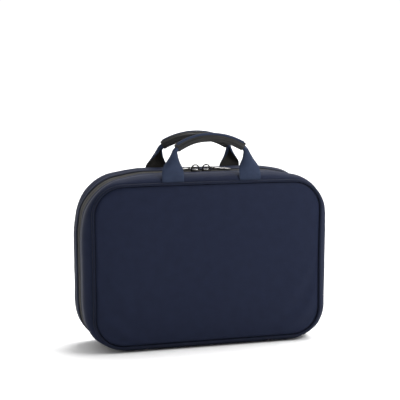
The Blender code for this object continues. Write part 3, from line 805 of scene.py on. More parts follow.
for half, side in (("front", -1), ("back", 1)):
    makePanel(half, side)
print("panels made")

gusset = {
    # Section of the padded band from the panel seam to the zip, as y and how far it stands out.
    "outside": [(-35.4, 0.7), (-35.2, 2.4), (-34.3, 4.2), (-32.2, 5.9), (-28.6, 6.9), (-24, 7.2),
                (-18.6, 7.15), (-15.2, 6.95), (-13.2, 7.5), (-11.4, 7.55), (-10.4, 6.9), (-10.2, 6.2)],
    "inside": [(-10.4, 5.65), (-11.4, 5.6), (-16, 5.75), (-24, 5.75), (-28.4, 5.3), (-31.2, 4.3),
               (-32.7, 3.2), (-33.4, 1.9), (-33.7, 0.7)],
    "rippleSize": 0.35 * mm,
    "pinch": 1.1 * mm,  # how far the band dips into a cross seam
    "pinchReach": 1.5 * mm,
    "calmEdge": (36 * mm, 31 * mm),  # no dents at the panel seam
    "cutX": 128.5 * mm,  # where the front strips are cut in three
    "blendX": 116 * mm,
}
# The part of the section that is turned over beside the zip, by its points. It gets the dark binding cloth:
# partly the real turned-over binding, partly painted shade for the dark line between tape and band
bandLipPaintedShade = (3 * (len(gusset["outside"]) - 3) + 2, 3 * len(gusset["outside"]) + 4)


def gussetSection(keys=("outside", "inside")):
    line = []
    for key in keys:
        line += [tuple(value * mm for value in point) for point in smoothLine(gusset[key], 3)]
    return line


def rippleRows(rows, profile, seed, size, whole=None):
    # Soft dents that run along a strip. With whole, the path that the rows are cut from, the strip dips
    # where it is sewn to the next one.
    profile = np.array(profile)
    out = np.zeros((len(rows), len(profile)))
    for i, row in enumerate(rows):
        for j, y in enumerate(profile[:, 0]):
            broad = Vector((row[0] * 38, y * 60 + seed, row[1] * 38))
            small = Vector((row[0] * 110, y * 90 + seed, row[1] * 110))
            out[i, j] = noise.noise(broad) * size + noise.noise(small) * size * 0.35
    out *= smoothStep(np.abs(profile[:, 0]), *gusset["calmEdge"])[None, :]
    if whole is not None:
        near = np.minimum(rows[:, 4] - whole[0, 4], whole[-1, 4] - rows[:, 4])
        out -= (gusset["pinch"] * np.exp(-(near / gusset["pinchReach"]) ** 2))[:, None]
    return out


def cutArch(half):
    # The seam over the arch, and its pieces: whole at the back, and at the front in three.
    path = walkSeam("arch")
    if half == "back":
        return path, [("", path)]
    first = int(np.argmax(path[:, 0] > gusset["cutX"]))
    last = len(path) - 1 - int(np.argmax(path[::-1, 0] < -gusset["cutX"]))
    cuts = {"": path[first:last + 1], "_right_corner": path[:first + 1], "_left_corner": path[last:]}
    return path, list(cuts.items())


def blendCorner(piece, suffix):
    hand = 1 if "right" in suffix else -1
    start = (hand * crossSeamX, -22 * mm, seamBottom)
    end = (hand * gusset["blendX"], -22 * mm, seamBottom)
    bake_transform(piece)


def sweepHalf(half, side, label, profile, material, node, ripple,
              pinched=False, trim=None):
    # One half's strip over the arch. ripple is the seed and the size of its dents.
    path, parts = cutArch(half)
    profile = turned(profile, side)
    for suffix, rows in parts:
        dents = rippleRows(rows, profile, *ripple, path if pinched else None)
        strip = sweepStrip(f"{half}_{label}{suffix}", rows, profile, material, dents=dents, trim=trim)
        if suffix:
            blendCorner(strip, suffix)
        else:
            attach(strip, f"{half}_half")
            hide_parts(node)
        float(rows[-1, 4] - rows[0, 4]) * 1.01


strips = {
    "tape": [(-15, 5.5), (-12.4, 5.5), (-10.6, 5.6), (-9.6, 6.3), (-8.4, 6.55), (-4, 6.6), (-1.0, 6.55),
             (-0.2, 6.3), (-0.02, 6.0), (-0.4, 5.75), (-4, 5.8), (-8.6, 5.7), (-10, 5.0), (-11.6, 4.7),
             (-15, 4.7)],
    "gussetLining": [(-29, 4.1), (-21, 4.2), (-13, 4.1), (-12.8, 3.8), (-13, 3.5), (-21, 3.6), (-29, 3.5),
                     (-29.2, 3.8)],
    "binding": [(-33, 1.0), (-31.6, 1.2), (-30.3, 1.0), (-30.15, -0.2), (-30.3, -1.5), (-31.6, -1.65),
                (-33, -1.5), (-33.15, -0.2)],
    "baseLining": [(-29, 4.1), (-15, 4.2), (0, 4.2), (15, 4.2), (29, 4.1), (29.2, 3.8), (29, 3.5), (15, 3.6),
                   (0, 3.6), (-15, 3.6), (-29, 3.5), (-29.2, 3.8)],
}
pipes = {"radius": 1.6 * mm, "stand": 1.4 * mm, "y": 37.2 * mm, "step": 2.4 * mm}
teeth = {
    "y": 1.3 * mm,
    "stand": 3.8 * mm,
    "sizes": {"Pitch": 1.5 * mm, "Tooth Width": 1.9 * mm, "Tooth Height": 1.2 * mm, "Filament": 0.3 * mm},
}


def inMetres(section):
    return [(y * mm, r * mm) for y, r in section]


for half, side in (("front", -1), ("back", 1)):
    # The band's turned lip beside the zip gets the dark binding cloth, partly painted shade for the dark line
    # between tape and band
    sweepHalf(half, side, "band", gussetSection(), look["softshell"], f"{half}_gusset",
              (4.0 + side, gusset["rippleSize"]), True, (look["binding"], *bandLipPaintedShade))
    sweepHalf(half, side, "tape", inMetres(strips["tape"]), look["tape"],
              f"{half}_zip_tape", (9.0, 0.15 * mm))
    sweepHalf(half, side, "band_lining", inMetres(strips["gussetLining"]), look["lining"],
              f"{half}_gusset_lining", (14.0, 0.12 * mm))
    ring = walkSeam("ring")
    binding = sweepStrip(f"{half}_binding", ring, turned(inMetres(strips["binding"]), side),
                         look["binding"], ring=True)
    declareBody(binding, f"{half}_half", "black_binding", f"{half}_seam_binding")
print("bands, tapes and linings made")

cordTree = pipingTree(look["piping"])
for half, side in (("front", -1), ("back", 1)):
    line = alongPath(walkSeam("ring"), side * pipes["y"], pipes["stand"])
    piping = runTree(pathObject(f"{half}_cord_piping", line, True), cordTree,
                     {"Cord Radius": pipes["radius"], "Step": pipes["step"]})
    declareBody(piping, f"{half}_half", "navy_piping", f"{half}_piping")

toothTree = coilTree(look["coil"])
for half, side in (("front", -1), ("back", 1)):
    for suffix, rows in cutArch(half)[1]:
        line = alongPath(rows, side * teeth["y"], teeth["stand"])
        coil = runTree(pathObject(f"{half}_teeth{suffix}", line), toothTree, teeth["sizes"])
        if suffix:
            blendCorner(coil, suffix)
        else:
            declareBody(coil, f"{half}_half", "black_coil", f"{half}_zip_coil")

bottomPath = walkSeam("bottom")
flatFrom = 17  # points of the band's outside that the base repeats before it lies flat
rightLine = gussetSection(("outside",))[:flatFrom]
leftLine = [(-y, r) for y, r in reversed(rightLine)]
turnedEdge = gusset["inside"][3:]
otherEdge = [(-y, r) for y, r in reversed(turnedEdge)]
innerLine = inMetres(otherEdge + [(y, 5.75) for y in (12, 0, -12)] + turnedEdge)
middleLine = [(y * mm, 7.45 * mm) for y in (-8, 0, 8)]
baseSection = rightLine + middleLine + leftLine + innerLine
baseDents = rippleRows(bottomPath, baseSection, 21.0, gusset["rippleSize"] * 0.5, bottomPath)
bottom = sweepStrip("base_band", bottomPath, baseSection, look["softshell"], dents=baseDents)
declareBody(bottom, "back_half", "navy_softshell", "bottom_gusset")
baseSection = inMetres(strips["baseLining"])
baseLining = sweepStrip("base_band_lining", bottomPath, baseSection, look["lining"],
                        dents=rippleRows(bottomPath, baseSection, 25.0, 0.1 * mm))
declareBody(baseLining, "back_half", "grey_lining", "bottom_gusset_lining")


def pillow(name, low, high, material, bulge=0.25, rows=(12, 8), rim=0.5):
    # A small flat piece of folded cloth or rubber: a slab with rounded rims, thickest in its middle.
    low, high = Vector(low), Vector(high)
    middle, half = (low + high) / 2, (high - low) / 2
    thin = min(range(3), key=lambda axis: half[axis])
    a, b = [axis for axis in range(3) if axis != thin]
    points, faces, corners = [], [], []
    for face in (1, -1):
        for i in range(rows[0] + 1):
            for j in range(rows[1] + 1):
                u, v = 2 * i / rows[0] - 1, 2 * j / rows[1] - 1
                point = list(middle)
                round_ = 1 - 0.10 * (u * v) ** 2
                point[a] += half[a] * u * round_
                point[b] += half[b] * v * round_
                edge = max(abs(u), abs(v)) ** 8
                point[thin] += face * half[thin] * ((1 - rim * edge) * (1 - bulge * (u * u + v * v) / 2))
                points.append(point)
    wide = rows[1] + 1
    count = (rows[0] + 1) * wide
    for k in (0, 1):
        for i in range(rows[0]):
            for j in range(rows[1]):
                quad = [i * wide + j, (i + 1) * wide + j, (i + 1) * wide + j + 1, i * wide + j + 1]
                faces.append(tuple(index + k * count for index in quad))
    rimLoop = [i * wide for i in range(rows[0])] + [rows[0] * wide + j for j in range(rows[1])]
    rimLoop += [i * wide + rows[1] for i in range(rows[0], 0, -1)] + [j for j in range(rows[1], 0, -1)]
    for i, first in enumerate(rimLoop):
        second = rimLoop[(i + 1) % len(rimLoop)]
        faces.append((first, second, second + count, first + count))
    for face in faces:
        corners.append(tuple((points[i][a], points[i][b]) for i in face))
    return finishMesh(name, points, faces, corners, [material])


for hand, name in ((-1, "left"), (1, "right")):
    low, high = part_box(f"zip_end_tab_{name}")
    tab = pillow(f"end_tab_{name}", low, high, look["tape"], rows=(10, 14))
    declareBody(tab, "back_half", "charcoal_tape", f"zip_end_tab_{name}")
print("piping, teeth and base made")


# Handles: flat webbing sewn into the seam, curled into a tube where the leather grip starts
handles = {
    "spacing": 45 * mm,
    "width": 25 * mm,
    "thickness": 1.5 * mm,
    "footY": 35.3 * mm,
    "hinge": (36.25 * mm, 195.75 * mm),  # how far out and how high the webbing bends
    "tuck": 6.4 * mm,
    "frontLean": 12,  # degrees inwards
    "backLean": 22,
    "gripEnd": (39 * mm, 33 * mm),
    "gripTop": 45 * mm,
    "gripHalf": (4.8 * mm, 3.5 * mm),  # in the handle's plane, and across it
    "grooves": 7,
    "grooveDepth": 0.28 * mm,
    "frontShift": 2.6 * mm,  # the front handle sits a little to the right
    "frontHeight": 0.955,  # and stands a little lower than the back one
    "weltRadius": 1.35 * mm,
    "weltTurn": 0.85,  # where the welt runs, from straight up towards the outside
    "squareness": 0.86,  # of the grip's section, 1 for round
    "leather": 1.0 * mm,
}


def gripArc(fraction):
    endX, endZ = handles["gripEnd"]
    rise = handles["gripTop"] - endZ
    radius = (endX ** 2 + rise ** 2) / (2 * rise)
    angle = math.asin(endX / radius) * (2 * fraction - 1)
    return radius * math.sin(angle), handles["gripTop"] - radius * (1 - math.cos(angle)), angle


def leanOver(points, side, lean):
    # Turns points about the bend, more and more within a few millimetres above it.
    hingeY, hingeZ = handles["hinge"]
    out = np.array(points, float)
    out[:, 0] += handles["frontShift"] if side < 0 else 0
    height = out[:, 2] - hingeZ
    if side < 0:
        height = np.where(height > 0, height * handles["frontHeight"], height)
    turn = math.radians(lean) * smoothStep(height, -1.5 * mm, 4.5 * mm)
    y = out[:, 1] - side * hingeY
    cos, sin = np.cos(turn), np.sin(turn)
    out[:, 1] = side * hingeY + y * cos - side * height * sin
    out[:, 2] = hingeZ + side * y * sin + height * cos
    return out


def webbingStations():
    # x, height above the bend, direction, how far round the strip is curled, its squeeze in x and in y
    side = handles["spacing"]
    rows = [
        (-side, -handles["tuck"], 0.0, 0.02, 1.0, 1.0),
        (-side, -2.5 * mm, 0.0, 0.03, 1.0, 1.0),
        (-side, 1.5 * mm, 0.0, 0.06, 1.0, 1.0),
        (-side + 0.3 * mm, 7.5 * mm, 0.03, 0.17, 1.0, 0.8),
        (-side + 0.9 * mm, 13.5 * mm, 0.06, 0.38, 1.0, 0.78),
        (-side + 1.8 * mm, 19.5 * mm, 0.13, 0.63, 0.92, 0.74),
        (-side + 3.0 * mm, 25.5 * mm, 0.33, 0.85, 0.72, 0.70),
        (-side + 4.6 * mm, 31.0 * mm, 0.75, 0.95, 0.52, 0.66),
    ]
    arc = []
    for step in range(1, 12):
        x, z, angle = gripArc(step / 12)
        arc.append((x, z, math.pi / 2 + angle, 0.95, 0.50, 0.55))
    back = [(-x, z, math.pi - turn, curl, inX, inY) for x, z, turn, curl, inX, inY in reversed(rows)]
    return smoothLine(rows + arc + back, 5)


def buildWebbing(half, side, lean):
    rows = webbingStations()
    across = 22
    wall = handles["thickness"] / 2
    hingeY, hingeZ = handles["hinge"]
    grid = np.zeros((len(rows), 2 * across, 3))
    widthLine = np.linspace(-0.5, 0.5, across) * handles["width"]
    for i, (x, z, turn, curl, inX, inY) in enumerate(rows):
        total = max(curl, 0.01) * 2 * math.pi
        radius = handles["width"] / total
        angle = widthLine / radius
        sideways = radius * np.sin(angle) * inX
        deep = radius * (1 - np.cos(angle)) * inY
        middle = (deep.max() + deep.min()) / 2 if curl > 0.2 else deep.max() / 2 * curl / 0.2
        normalX = -np.sin(angle) * inY
        normalY = np.cos(angle) * inX
        size = np.hypot(normalX, normalY)
        normalX, normalY = normalX / size, normalY / size
        pinch = np.where(np.abs(widthLine) > handles["width"] / 2 - 0.3 * mm, 0.55, 1.0)
        for shell, (start, step) in enumerate(((0, 1), (2 * across - 1, -1))):
            sign = -1 if shell == 0 else 1
            offsetX = sideways + sign * wall * normalX * pinch
            offsetY = deep - middle + sign * wall * normalY * pinch
            index = start + step * np.arange(across)
            grid[i, index, 0] = x + offsetX * math.cos(turn)
            grid[i, index, 2] = hingeZ + z - offsetX * math.sin(turn)
            grid[i, index, 1] = side * (handles["footY"] - offsetY)
    points = leanOver(grid.reshape(-1, 3), side, lean)
    lengths = runLengths(rows[:, :2], False)
    acrosses = np.concatenate([widthLine, widthLine[::-1], widthLine[:1]])
    faces, corners = weaveRows(grid, list(lengths), list(acrosses), False, True)
    wide = 2 * across
    slots = []
    for face in faces:
        column = min(index % wide for index in face)
        slots.append(1 if across <= column < 2 * across - 1 and (face[0] % wide) >= across else 0)
    for row in (0, len(rows) - 1):
        faces.append(tuple(row * wide + j for j in range(wide)))
        corners.append(tuple((acrosses[j], 0) for j in range(wide)))
        slots.append(0)
    webbing = finishMesh(f"{half}_handle_strap", points, faces, corners,
                         [look["webbing"], look["webbingBack"]], slots)
    start = (0, side * hingeY, hingeZ - 1.2 * mm)
    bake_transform(webbing)
    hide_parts(f"{half}_handle_webbing", f"{half}_handle_foot_left", f"{half}_handle_foot_right")


def buildGrip(half, side, lean):
    # Leather wrapped round the webbing, its long edges pulled into a welt on the outer top side.
    hingeZ = handles["hinge"][1]
    halfX, halfY = handles["gripHalf"]
    wall = handles["leather"]
    stations, around = 72, 60
    rings = []
    for shell in (0, 1):
        for i in range(stations + 1):
            t = i / stations
            x, z, bend = gripArc(t)
            ring = []
            edge = min(t, 1 - t) * stations
            swell = 1 + 0.035 * math.exp(-edge / 1.3) - 0.05 * math.exp(-edge / 0.45)
            for j in range(around):
                turn = 2 * math.pi * j / around
                # 0 points up out of the arc, a quarter turn points outwards from the bag
                wave = noise.noise((t * 6, math.cos(turn) * 1.3, math.sin(turn) * 1.3 + side)) * 0.30 * mm
                groove = handles["grooveDepth"] * math.cos(
                    handles["grooves"] * turn + 1.6 * noise.noise((t * 2.2, 5.5, side)))
                size = (wave + groove) * (0.35 + 0.65 * smoothStep(edge, 0, 5))
                welt = 0.9 * mm * math.exp(-((turn - handles["weltTurn"]) / 0.20) ** 2)
                if shell:
                    reachX, reachY = halfX - wall, halfY - wall
                    size, welt = 0, 0
                else:
                    reachX, reachY = halfX * swell, halfY * swell
                up = math.copysign(abs(math.cos(turn)) ** handles["squareness"], math.cos(turn))
                out = math.copysign(abs(math.sin(turn)) ** handles["squareness"], math.sin(turn))
                up, out = up * (reachX + size + welt), out * (reachY + size + welt)
                ring.append((x + up * math.sin(bend), side * (handles["footY"] + out),
                             hingeZ + z + up * math.cos(bend)))
            rings.append(ring)
    outer, inner = rings[:stations + 1], rings[stations + 1:]
    loop = outer + inner[::-1]
    grid = np.array(loop)
    points = leanOver(grid.reshape(-1, 3), side, lean)
    endX = gripArc(1)[0]
    lengths = [2 * endX * (i / stations) for i in range(stations + 1)]
    lengths += [lengths[-1] + wall + value for value in lengths] + [lengths[-1] * 2 + 2 * wall]
    girth = math.pi * (halfX + halfY)
    acrosses = [girth * j / around for j in range(around + 1)]
    faces, corners = weaveRows(grid, lengths, acrosses, True, True)
    grip = finishMesh(f"{half}_handle_leather", points, faces, corners, [look["leather"]], sharp=60)
    declareBody(grip, f"{half}_handle", "charcoal_leather", f"{half}_handle_grip")
    2 * endX * 1.03

    # The webbing's folded edge shows along the welt.
    ridge = []
    for i in range(stations + 1):
        x, z, bend = gripArc(0.015 + 0.97 * i / stations)
        up = math.cos(handles["weltTurn"]) ** handles["squareness"] * (halfX + 0.55 * mm)
        out = math.sin(handles["weltTurn"]) ** handles["squareness"] * (halfY + 0.55 * mm)
        ridge.append((x + up * math.sin(bend), side * (handles["footY"] + out),
                      hingeZ + z + up * math.cos(bend)))
    ridge = leanOver(ridge, side, lean)
    welt = runTree(pathObject(f"{half}_handle_welt", ridge), weltTree, {"Cord Radius": handles["weltRadius"]})
    declareBody(welt, f"{half}_handle", "navy_webbing")


def cappedCordTree(material):
    # A cord along an open path, its ends rounded down to a point.
    tree = newTree("weltCord", {"Cord Radius": 1 * mm})
    start = addNode(tree, "NodeGroupInput")
    place = addNode(tree, "GeometryNodeSplineParameter")
    away = addNode(tree, "ShaderNodeMath", {"operation": "SUBTRACT"}, {0: place.outputs["Factor"], 1: 0.5})
    far = addNode(tree, "ShaderNodeMath", {"operation": "ABSOLUTE"}, {0: away.outputs[0]})
    taper = addNode(tree, "ShaderNodeMapRange", inputs={
        "Value": far.outputs[0], "From Min": 0.47, "From Max": 0.5, "To Min": 1.0, "To Max": 0.25,
    })
    radius = addNode(tree, "GeometryNodeSetCurveRadius", inputs={
        "Curve": start.outputs["Geometry"], "Radius": taper.outputs[0],
    })
    round_ = addNode(tree, "GeometryNodeCurvePrimitiveCircle", inputs={
        "Resolution": 10, "Radius": start.outputs["Cord Radius"],
    })
    cord = addNode(tree, "GeometryNodeCurveToMesh", inputs={
        "Curve": radius.outputs[0], "Profile Curve": round_.outputs[0], "Scale": taper.outputs[0],
        "Fill Caps": True,
    })
    closeTree(tree, cord.outputs[0], material)
    return tree


weltTree = cappedCordTree(look["webbing"])
for half, side in (("front", -1), ("back", 1)):
    lean = handles[f"{half}Lean"]
    buildWebbing(half, side, lean)
    buildGrip(half, side, lean)
print("handles made")


# Zip sliders with their arched bridges and forked pulls
sliders = {
    "bridgeReach": 4.3 * mm,
    "bridgeRise": 6.3 * mm,
    "bridgeWidth": 2.3 * mm,
    "bridgeWall": 1.5 * mm,
    "pullLength": 29 * mm,
    "pullWidth": 6 * mm,
    "droop": 5.0,
    "slot": (19 * mm, 24 * mm, 1.15 * mm),
    "plateTop": 1.5 * mm,  # above the bottom of the slider
    "pinHeight": 3.05 * mm,  # above the plate
    "tip": 3.6 * mm,  # length of the pull's narrowing end
    # Half length, half width, squareness, bottom, top and rim of each plate of a slider and its pull
    "plate": (5.2 * mm, 3.8 * mm, 3.4, -1.3 * mm, 0, 0.45 * mm),
    "crest": (3.2 * mm, 1.9 * mm, 3.0, -0.4 * mm, 1.1 * mm, 0.35 * mm),
    "lip": (4.2 * mm, 0.42 * mm, 4, -2.1 * mm, -0.5 * mm, 0.2 * mm),
    "prong": (4.6 * mm, 0.68 * mm, 4, -0.75 * mm, 0.62 * mm, 0.25 * mm),
    "collar": (1.4 * mm, 3.09 * mm, 5, -0.8 * mm, 0.95 * mm, 0.3 * mm),
}


def sliderFrame(name):
    low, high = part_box(f"{name}_slider")
    return (low[0] + high[0]) / 2, low[2] + sliders["plateTop"]


def outlineSlab(name, outline, low, high, edge, material, hole=None):
    # A flat plate cut to an outline, with rounded rims, and a slot through it if asked.
    def inset(points, amount):
        out = []
        for i, point in enumerate(points):
            before = Vector(points[i - 1])
            after = Vector(points[(i + 1) % len(points)])
            run = (after - before).normalized()
            out.append((point[0] - run.y * amount, point[1] + run.x * amount))
        return out

    levels = []
    for depth in (0, 1, 2, 3):
        turn = math.pi / 2 * depth / 3
        levels.append((edge * (1 - math.sin(turn)), low + edge * (1 - math.cos(turn))))
    upper = [(amount, high - (z - low)) for amount, z in reversed(levels)]
    loops = levels + upper
    count = len(outline)
    points, faces = [], []
    for amount, z in loops:
        points += [(x, y, z) for x, y in inset(outline, amount)]
    for k in range(len(loops) - 1):
        for i in range(count):
            j = (i + 1) % count
            faces.append((k * count + i, k * count + j, (k + 1) * count + j, (k + 1) * count + i))
    if hole:
        start = len(points)
        for z in (low, high):
            points += [(x, y, z) for x, y in hole]
        wide = len(hole)
        for i in range(wide):
            j = (i + 1) % wide
            faces.append((start + i, start + wide + i, start + wide + j, start + j))
        top = (len(loops) - 1) * count
        for i in range(count):
            j = (i + 1) % count
            faces.append((i, j, start + j, start + i))
            faces.append((top + i, top + j, start + wide + j, start + wide + i))
    else:
        faces.append(tuple(range(count)))
        faces.append(tuple((len(loops) - 1) * count + i for i in range(count)))
    corners = [tuple((points[i][0], points[i][1]) for i in face) for face in faces]
    return finishMesh(name, points, faces, corners, [material], sharp=40)


def ovalOutline(halfX, halfY, power, count=40):
    out = []
    for i in range(count):
        turn = 2 * math.pi * i / count
        x = math.copysign(abs(math.cos(turn)) ** (2 / power), math.cos(turn))
        y = math.copysign(abs(math.sin(turn)) ** (2 / power), math.sin(turn))
        out.append((halfX * x, halfY * y))
    return out


def ovalSlab(name, look, x=0, y=0):
    # One of the plates above, moved along x and y.
    halfX, halfY, power, low, high, rim = sliders[name]
    outline = [(px + x, py + y) for px, py in ovalOutline(halfX, halfY, power)]
    return outlineSlab(name, outline, low, high, rim, look)


def stripArc(name, centres, halfWidth, halfWall, material):
    # A flat bar bent along x and z: a rounded section swept along its middle line.
    section = ovalOutline(halfWall, halfWidth, 3.2, 16)
    centres = np.array(centres)
    grid = np.zeros((len(centres), len(section), 3))
    for i, (x, z) in enumerate(centres):
        before = centres[max(i - 1, 0)]
        after = centres[min(i + 1, len(centres) - 1)]
        run = (after - before) / np.linalg.norm(after - before)
        for j, (thick, across) in enumerate(section):
            grid[i, j] = (x - run[1] * thick, across, z + run[0] * thick)
    lengths = list(runLengths(centres, False))
    acrosses = [0.4 * mm * j for j in range(len(section) + 1)]
    faces, corners = weaveRows(grid, lengths, acrosses, False, True)
    wide = len(section)
    for row in (0, len(centres) - 1):
        faces.append(tuple(row * wide + j for j in range(wide)))
        corners.append(tuple(section))
    return finishMesh(name, grid.reshape(-1, 3), faces, corners, [material])


def moveTo(piece, matrix):
    piece.data.transform(matrix)
    if matrix.determinant() < 0:
        piece.data.flip_normals()
    return piece


def joinPieces(name, pieces):
    # Makes several closed bodies one object.
    target = pieces[0]
    with bpy.context.temp_override(active_object=target, selected_editable_objects=pieces):
        bpy.ops.object.join()
    target.name = name
    target.data.name = name
    return target


def buildSlider(name):
    middle, top = sliderFrame(name)
    plate = ovalSlab("plate", look["gunmetal"])
    crest = ovalSlab("crest", look["brightMetal"])
    lip = ovalSlab("lip", look["gunmetal"], 0, 3.3 * mm)
    arch = []
    for step in range(25):
        turn = math.pi * step / 24
        reach = math.copysign(abs(math.cos(turn)) ** 0.72, math.cos(turn))
        arch.append((sliders["bridgeReach"] * reach,
                     sliders["bridgeRise"] * math.sin(turn) ** 0.85 - 0.5 * mm))
    bridge = stripArc("bridge", arch, sliders["bridgeWidth"] / 2, sliders["bridgeWall"] / 2, look["gunmetal"])
    slider = joinPieces(f"{name}_zip_slider", [plate, crest, lip, bridge])
    moveTo(slider, Matrix.Translation((middle, 0, top)))
    declareBody(slider, f"{name}_slider", "gunmetal", f"{name}_slider")


def pullOutline(start, length, half, tipHalf, count=10):
    # A straight blade that narrows to a blunt end.
    upper = []
    for i in range(count + 1):
        t = i / count
        upper.append((start + (length - sliders["tip"] - start) * t, half))
    for i in range(1, 6):
        t = i / 5
        upper.append((length - sliders["tip"] + sliders["tip"] * t, half - (half - tipHalf) * t ** 1.3))
    return [(x, -y) for x, y in upper] + upper[::-1]


def buildPuller(name, hand):
    middle, top = sliderFrame(name)
    pin = top + sliders["pinHeight"]
    half = sliders["pullWidth"] / 2
    near, far, slotHalf = sliders["slot"]
    outline = pullOutline(6.2 * mm, sliders["pullLength"], half, 1.3 * mm)
    hole = slotHole(outline, near, far, slotHalf)
    blade = outlineSlab("blade", outline, -0.6 * mm, 0.6 * mm, 0.3 * mm, look["brightMetal"], hole)
    prongs = [ovalSlab("prong", look["gunmetal"], 3.3 * mm, edge * 1.7 * mm) for edge in (-1, 1)]
    collar = ovalSlab("collar", look["gunmetal"], 8.2 * mm)
    bar = stripArc("bar", [(0, -2.1 * mm), (0, -1 * mm), (0, 1 * mm), (0, 2.1 * mm)], 0.5 * mm, 0.5 * mm,
                   look["gunmetal"])
    moveTo(bar, Matrix.Rotation(math.pi / 2, 4, "X"))
    pull = joinPieces(f"{name}_zip_pull", [blade, *prongs, collar, bar])
    back = outlineSlab(f"{name}_pull_rubber", pullOutline(8 * mm, sliders["pullLength"] + 0.2 * mm,
                       half + 0.35 * mm, 1.6 * mm), -2.1 * mm, -0.75 * mm, 0.5 * mm, look["rubber"])
    place = Matrix.Translation((middle, 0, pin))
    if hand < 0:
        place = place @ Matrix.Rotation(math.pi, 4, "Z")
    place = place @ Matrix.Rotation(math.radians(sliders["droop"]), 4, "Y")
    for piece, slotName, node in ((pull, "gunmetal", f"{name}_puller_blade"),
                                  (back, "black_rubber", f"{name}_puller_backing")):
        moveTo(piece, place)
        declareBody(piece, f"{name}_puller", slotName, node)


def slotHole(outline, near, far, half):
    # A rounded slot with one point for each point of the outline round it.
    middle = Vector(((near + far) / 2, 0))
    reach = (far - near) / 2 - half
    out = []
    for x, y in outline:
        away = Vector((x, y)) - middle
        turn = math.atan2(away.y / 3.0, away.x / 11.0)
        along = reach * min(max(math.cos(turn) / 0.25, -1), 1)
        out.append((middle.x + along + half * math.cos(turn), half * math.sin(turn)))
    return out


for hand, name in ((-1, "left"), (1, "right")):
    buildSlider(name)
    buildPuller(name, hand)
print("sliders made")


# Inside: mesh pocket with its own zip on the front half, elastic loops on the back half
pocket = {"sag": 2.0 * mm, "frames": 24, "cell": 4 * mm, "cornerRadius": 25 * mm, "wall": 0.35 * mm,
          "sagShare": 0.4}
elastic = {"pitch": 38 * mm, "width": 28 * mm, "rise": 9 * mm, "wall": 0.9 * mm, "rib": 0.18 * mm}


def buildNet():
    low, high = (np.array(corner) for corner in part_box("pocket_mesh"))
    radius = pocket["cornerRadius"]
    wide, tall = high[0] - low[0], high[2] - low[2]
    countX, countZ = int(wide / pocket["cell"]), int(tall / pocket["cell"])
    flat = []
    for b in range(countZ + 1):
        z = low[2] + tall * b / countZ
        down = max(radius - (z - low[2]), 0)
        reach = wide / 2 - (radius - math.sqrt(max(radius ** 2 - down ** 2, 0)))
        for a in range(countX + 1):
            flat.append((reach * (2 * a / countX - 1), z))
    row = countX + 1
    faces = [(b * row + a, b * row + a + 1, (b + 1) * row + a + 1, (b + 1) * row + a)
             for b in range(countZ) for a in range(countX)]
    flat = np.array(flat)
    middleY = (low[1] + high[1]) / 2
    depth = np.zeros(len(flat))
    mesh = bpy.data.meshes.new("net")
    loose = [(x * 1.004, middleY + 0.0002 * math.sin(x * 90), z) for x, z in flat]
    mesh.from_pydata(loose, [], faces)
    net = newObject("net", mesh)
    rim = [i for i in range(len(flat)) if i % row in (0, countX) or i // row in (0, countZ)]
    settings = {"quality": 5, "mass": 0.1, "tension_stiffness": 10, "compression_stiffness": 10,
                "shear_stiffness": 3, "bending_stiffness": 0.1, "air_damping": 2,
                "use_pressure": True, "uniform_pressure_force": -0.15}
    ended = runCloth(net, rim, settings, pocket["frames"])
    depth = np.clip(ended[:, 1] - middleY, -pocket["sag"], pocket["sag"])
    print("pocket net moved up to", round(float(np.abs(depth).max()) * 1000, 2), "mm")
    waves = np.array([noise.noise((x * 25, z * 25, 2.0)) for x, z in flat]) * 0.5 * mm
    edge = np.minimum(seamDistance(flat) - 7 * mm, high[2] - flat[:, 1])
    depth = depth * pocket["sagShare"] + np.clip(waves, -0.3 * mm, 0.5 * mm) * smoothStep(edge, 0, 8 * mm)
    wall = pocket["wall"]
    rimLoop = list(range(row)) + [b * row + countX for b in range(1, countZ + 1)]
    rimLoop += [countZ * row + a for a in range(countX - 1, -1, -1)]
    rimLoop += [b * row for b in range(countZ - 1, 0, -1)]
    points, faces, corners = doubleSheet(flat, faces, rimLoop, middleY + (depth - wall / 2),
                                         middleY + (depth + wall / 2))
    net = finishMesh("pocket_net", settle(points), faces, corners, [look["net"]])
    declareBody(net, "front_half", "black_mesh", "pocket_mesh")


def flatBand(name, node, material, body, slotName, rows=(90, 10)):
    low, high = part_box(node)
    band = pillow(name, low, high, material, bulge=0.1, rows=rows, rim=0.4)
    declareBody(band, body, slotName, node)


buildNet()
flatBand("pocket_tape", "pocket_zip_tape", look["tape"], "front_half", "charcoal_tape")
flatBand("pocket_binding", "pocket_top_binding", look["binding"], "front_half", "black_binding")
coilLow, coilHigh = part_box("pocket_zip_coil")
coilMiddle = [(a + b) / 2 for a, b in zip(coilLow, coilHigh)]
coilLine = [(x, coilMiddle[1], coilMiddle[2]) for x in (coilLow[0], coilHigh[0])]
pocketTeeth = runTree(pathObject("pocket_teeth", coilLine), toothTree, {
    "Pitch": 1.3 * mm, "Tooth Width": 1.1 * mm, "Tooth Height": 2.8 * mm, "Filament": 0.25 * mm,
})
declareBody(pocketTeeth, "front_half", "black_coil", "pocket_zip_coil")

turnIn = Matrix.Rotation(-math.pi / 2, 4, "X")


def middleOf(node):
    low, high = (Vector(corner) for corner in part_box(node))
    return (low + high) / 2


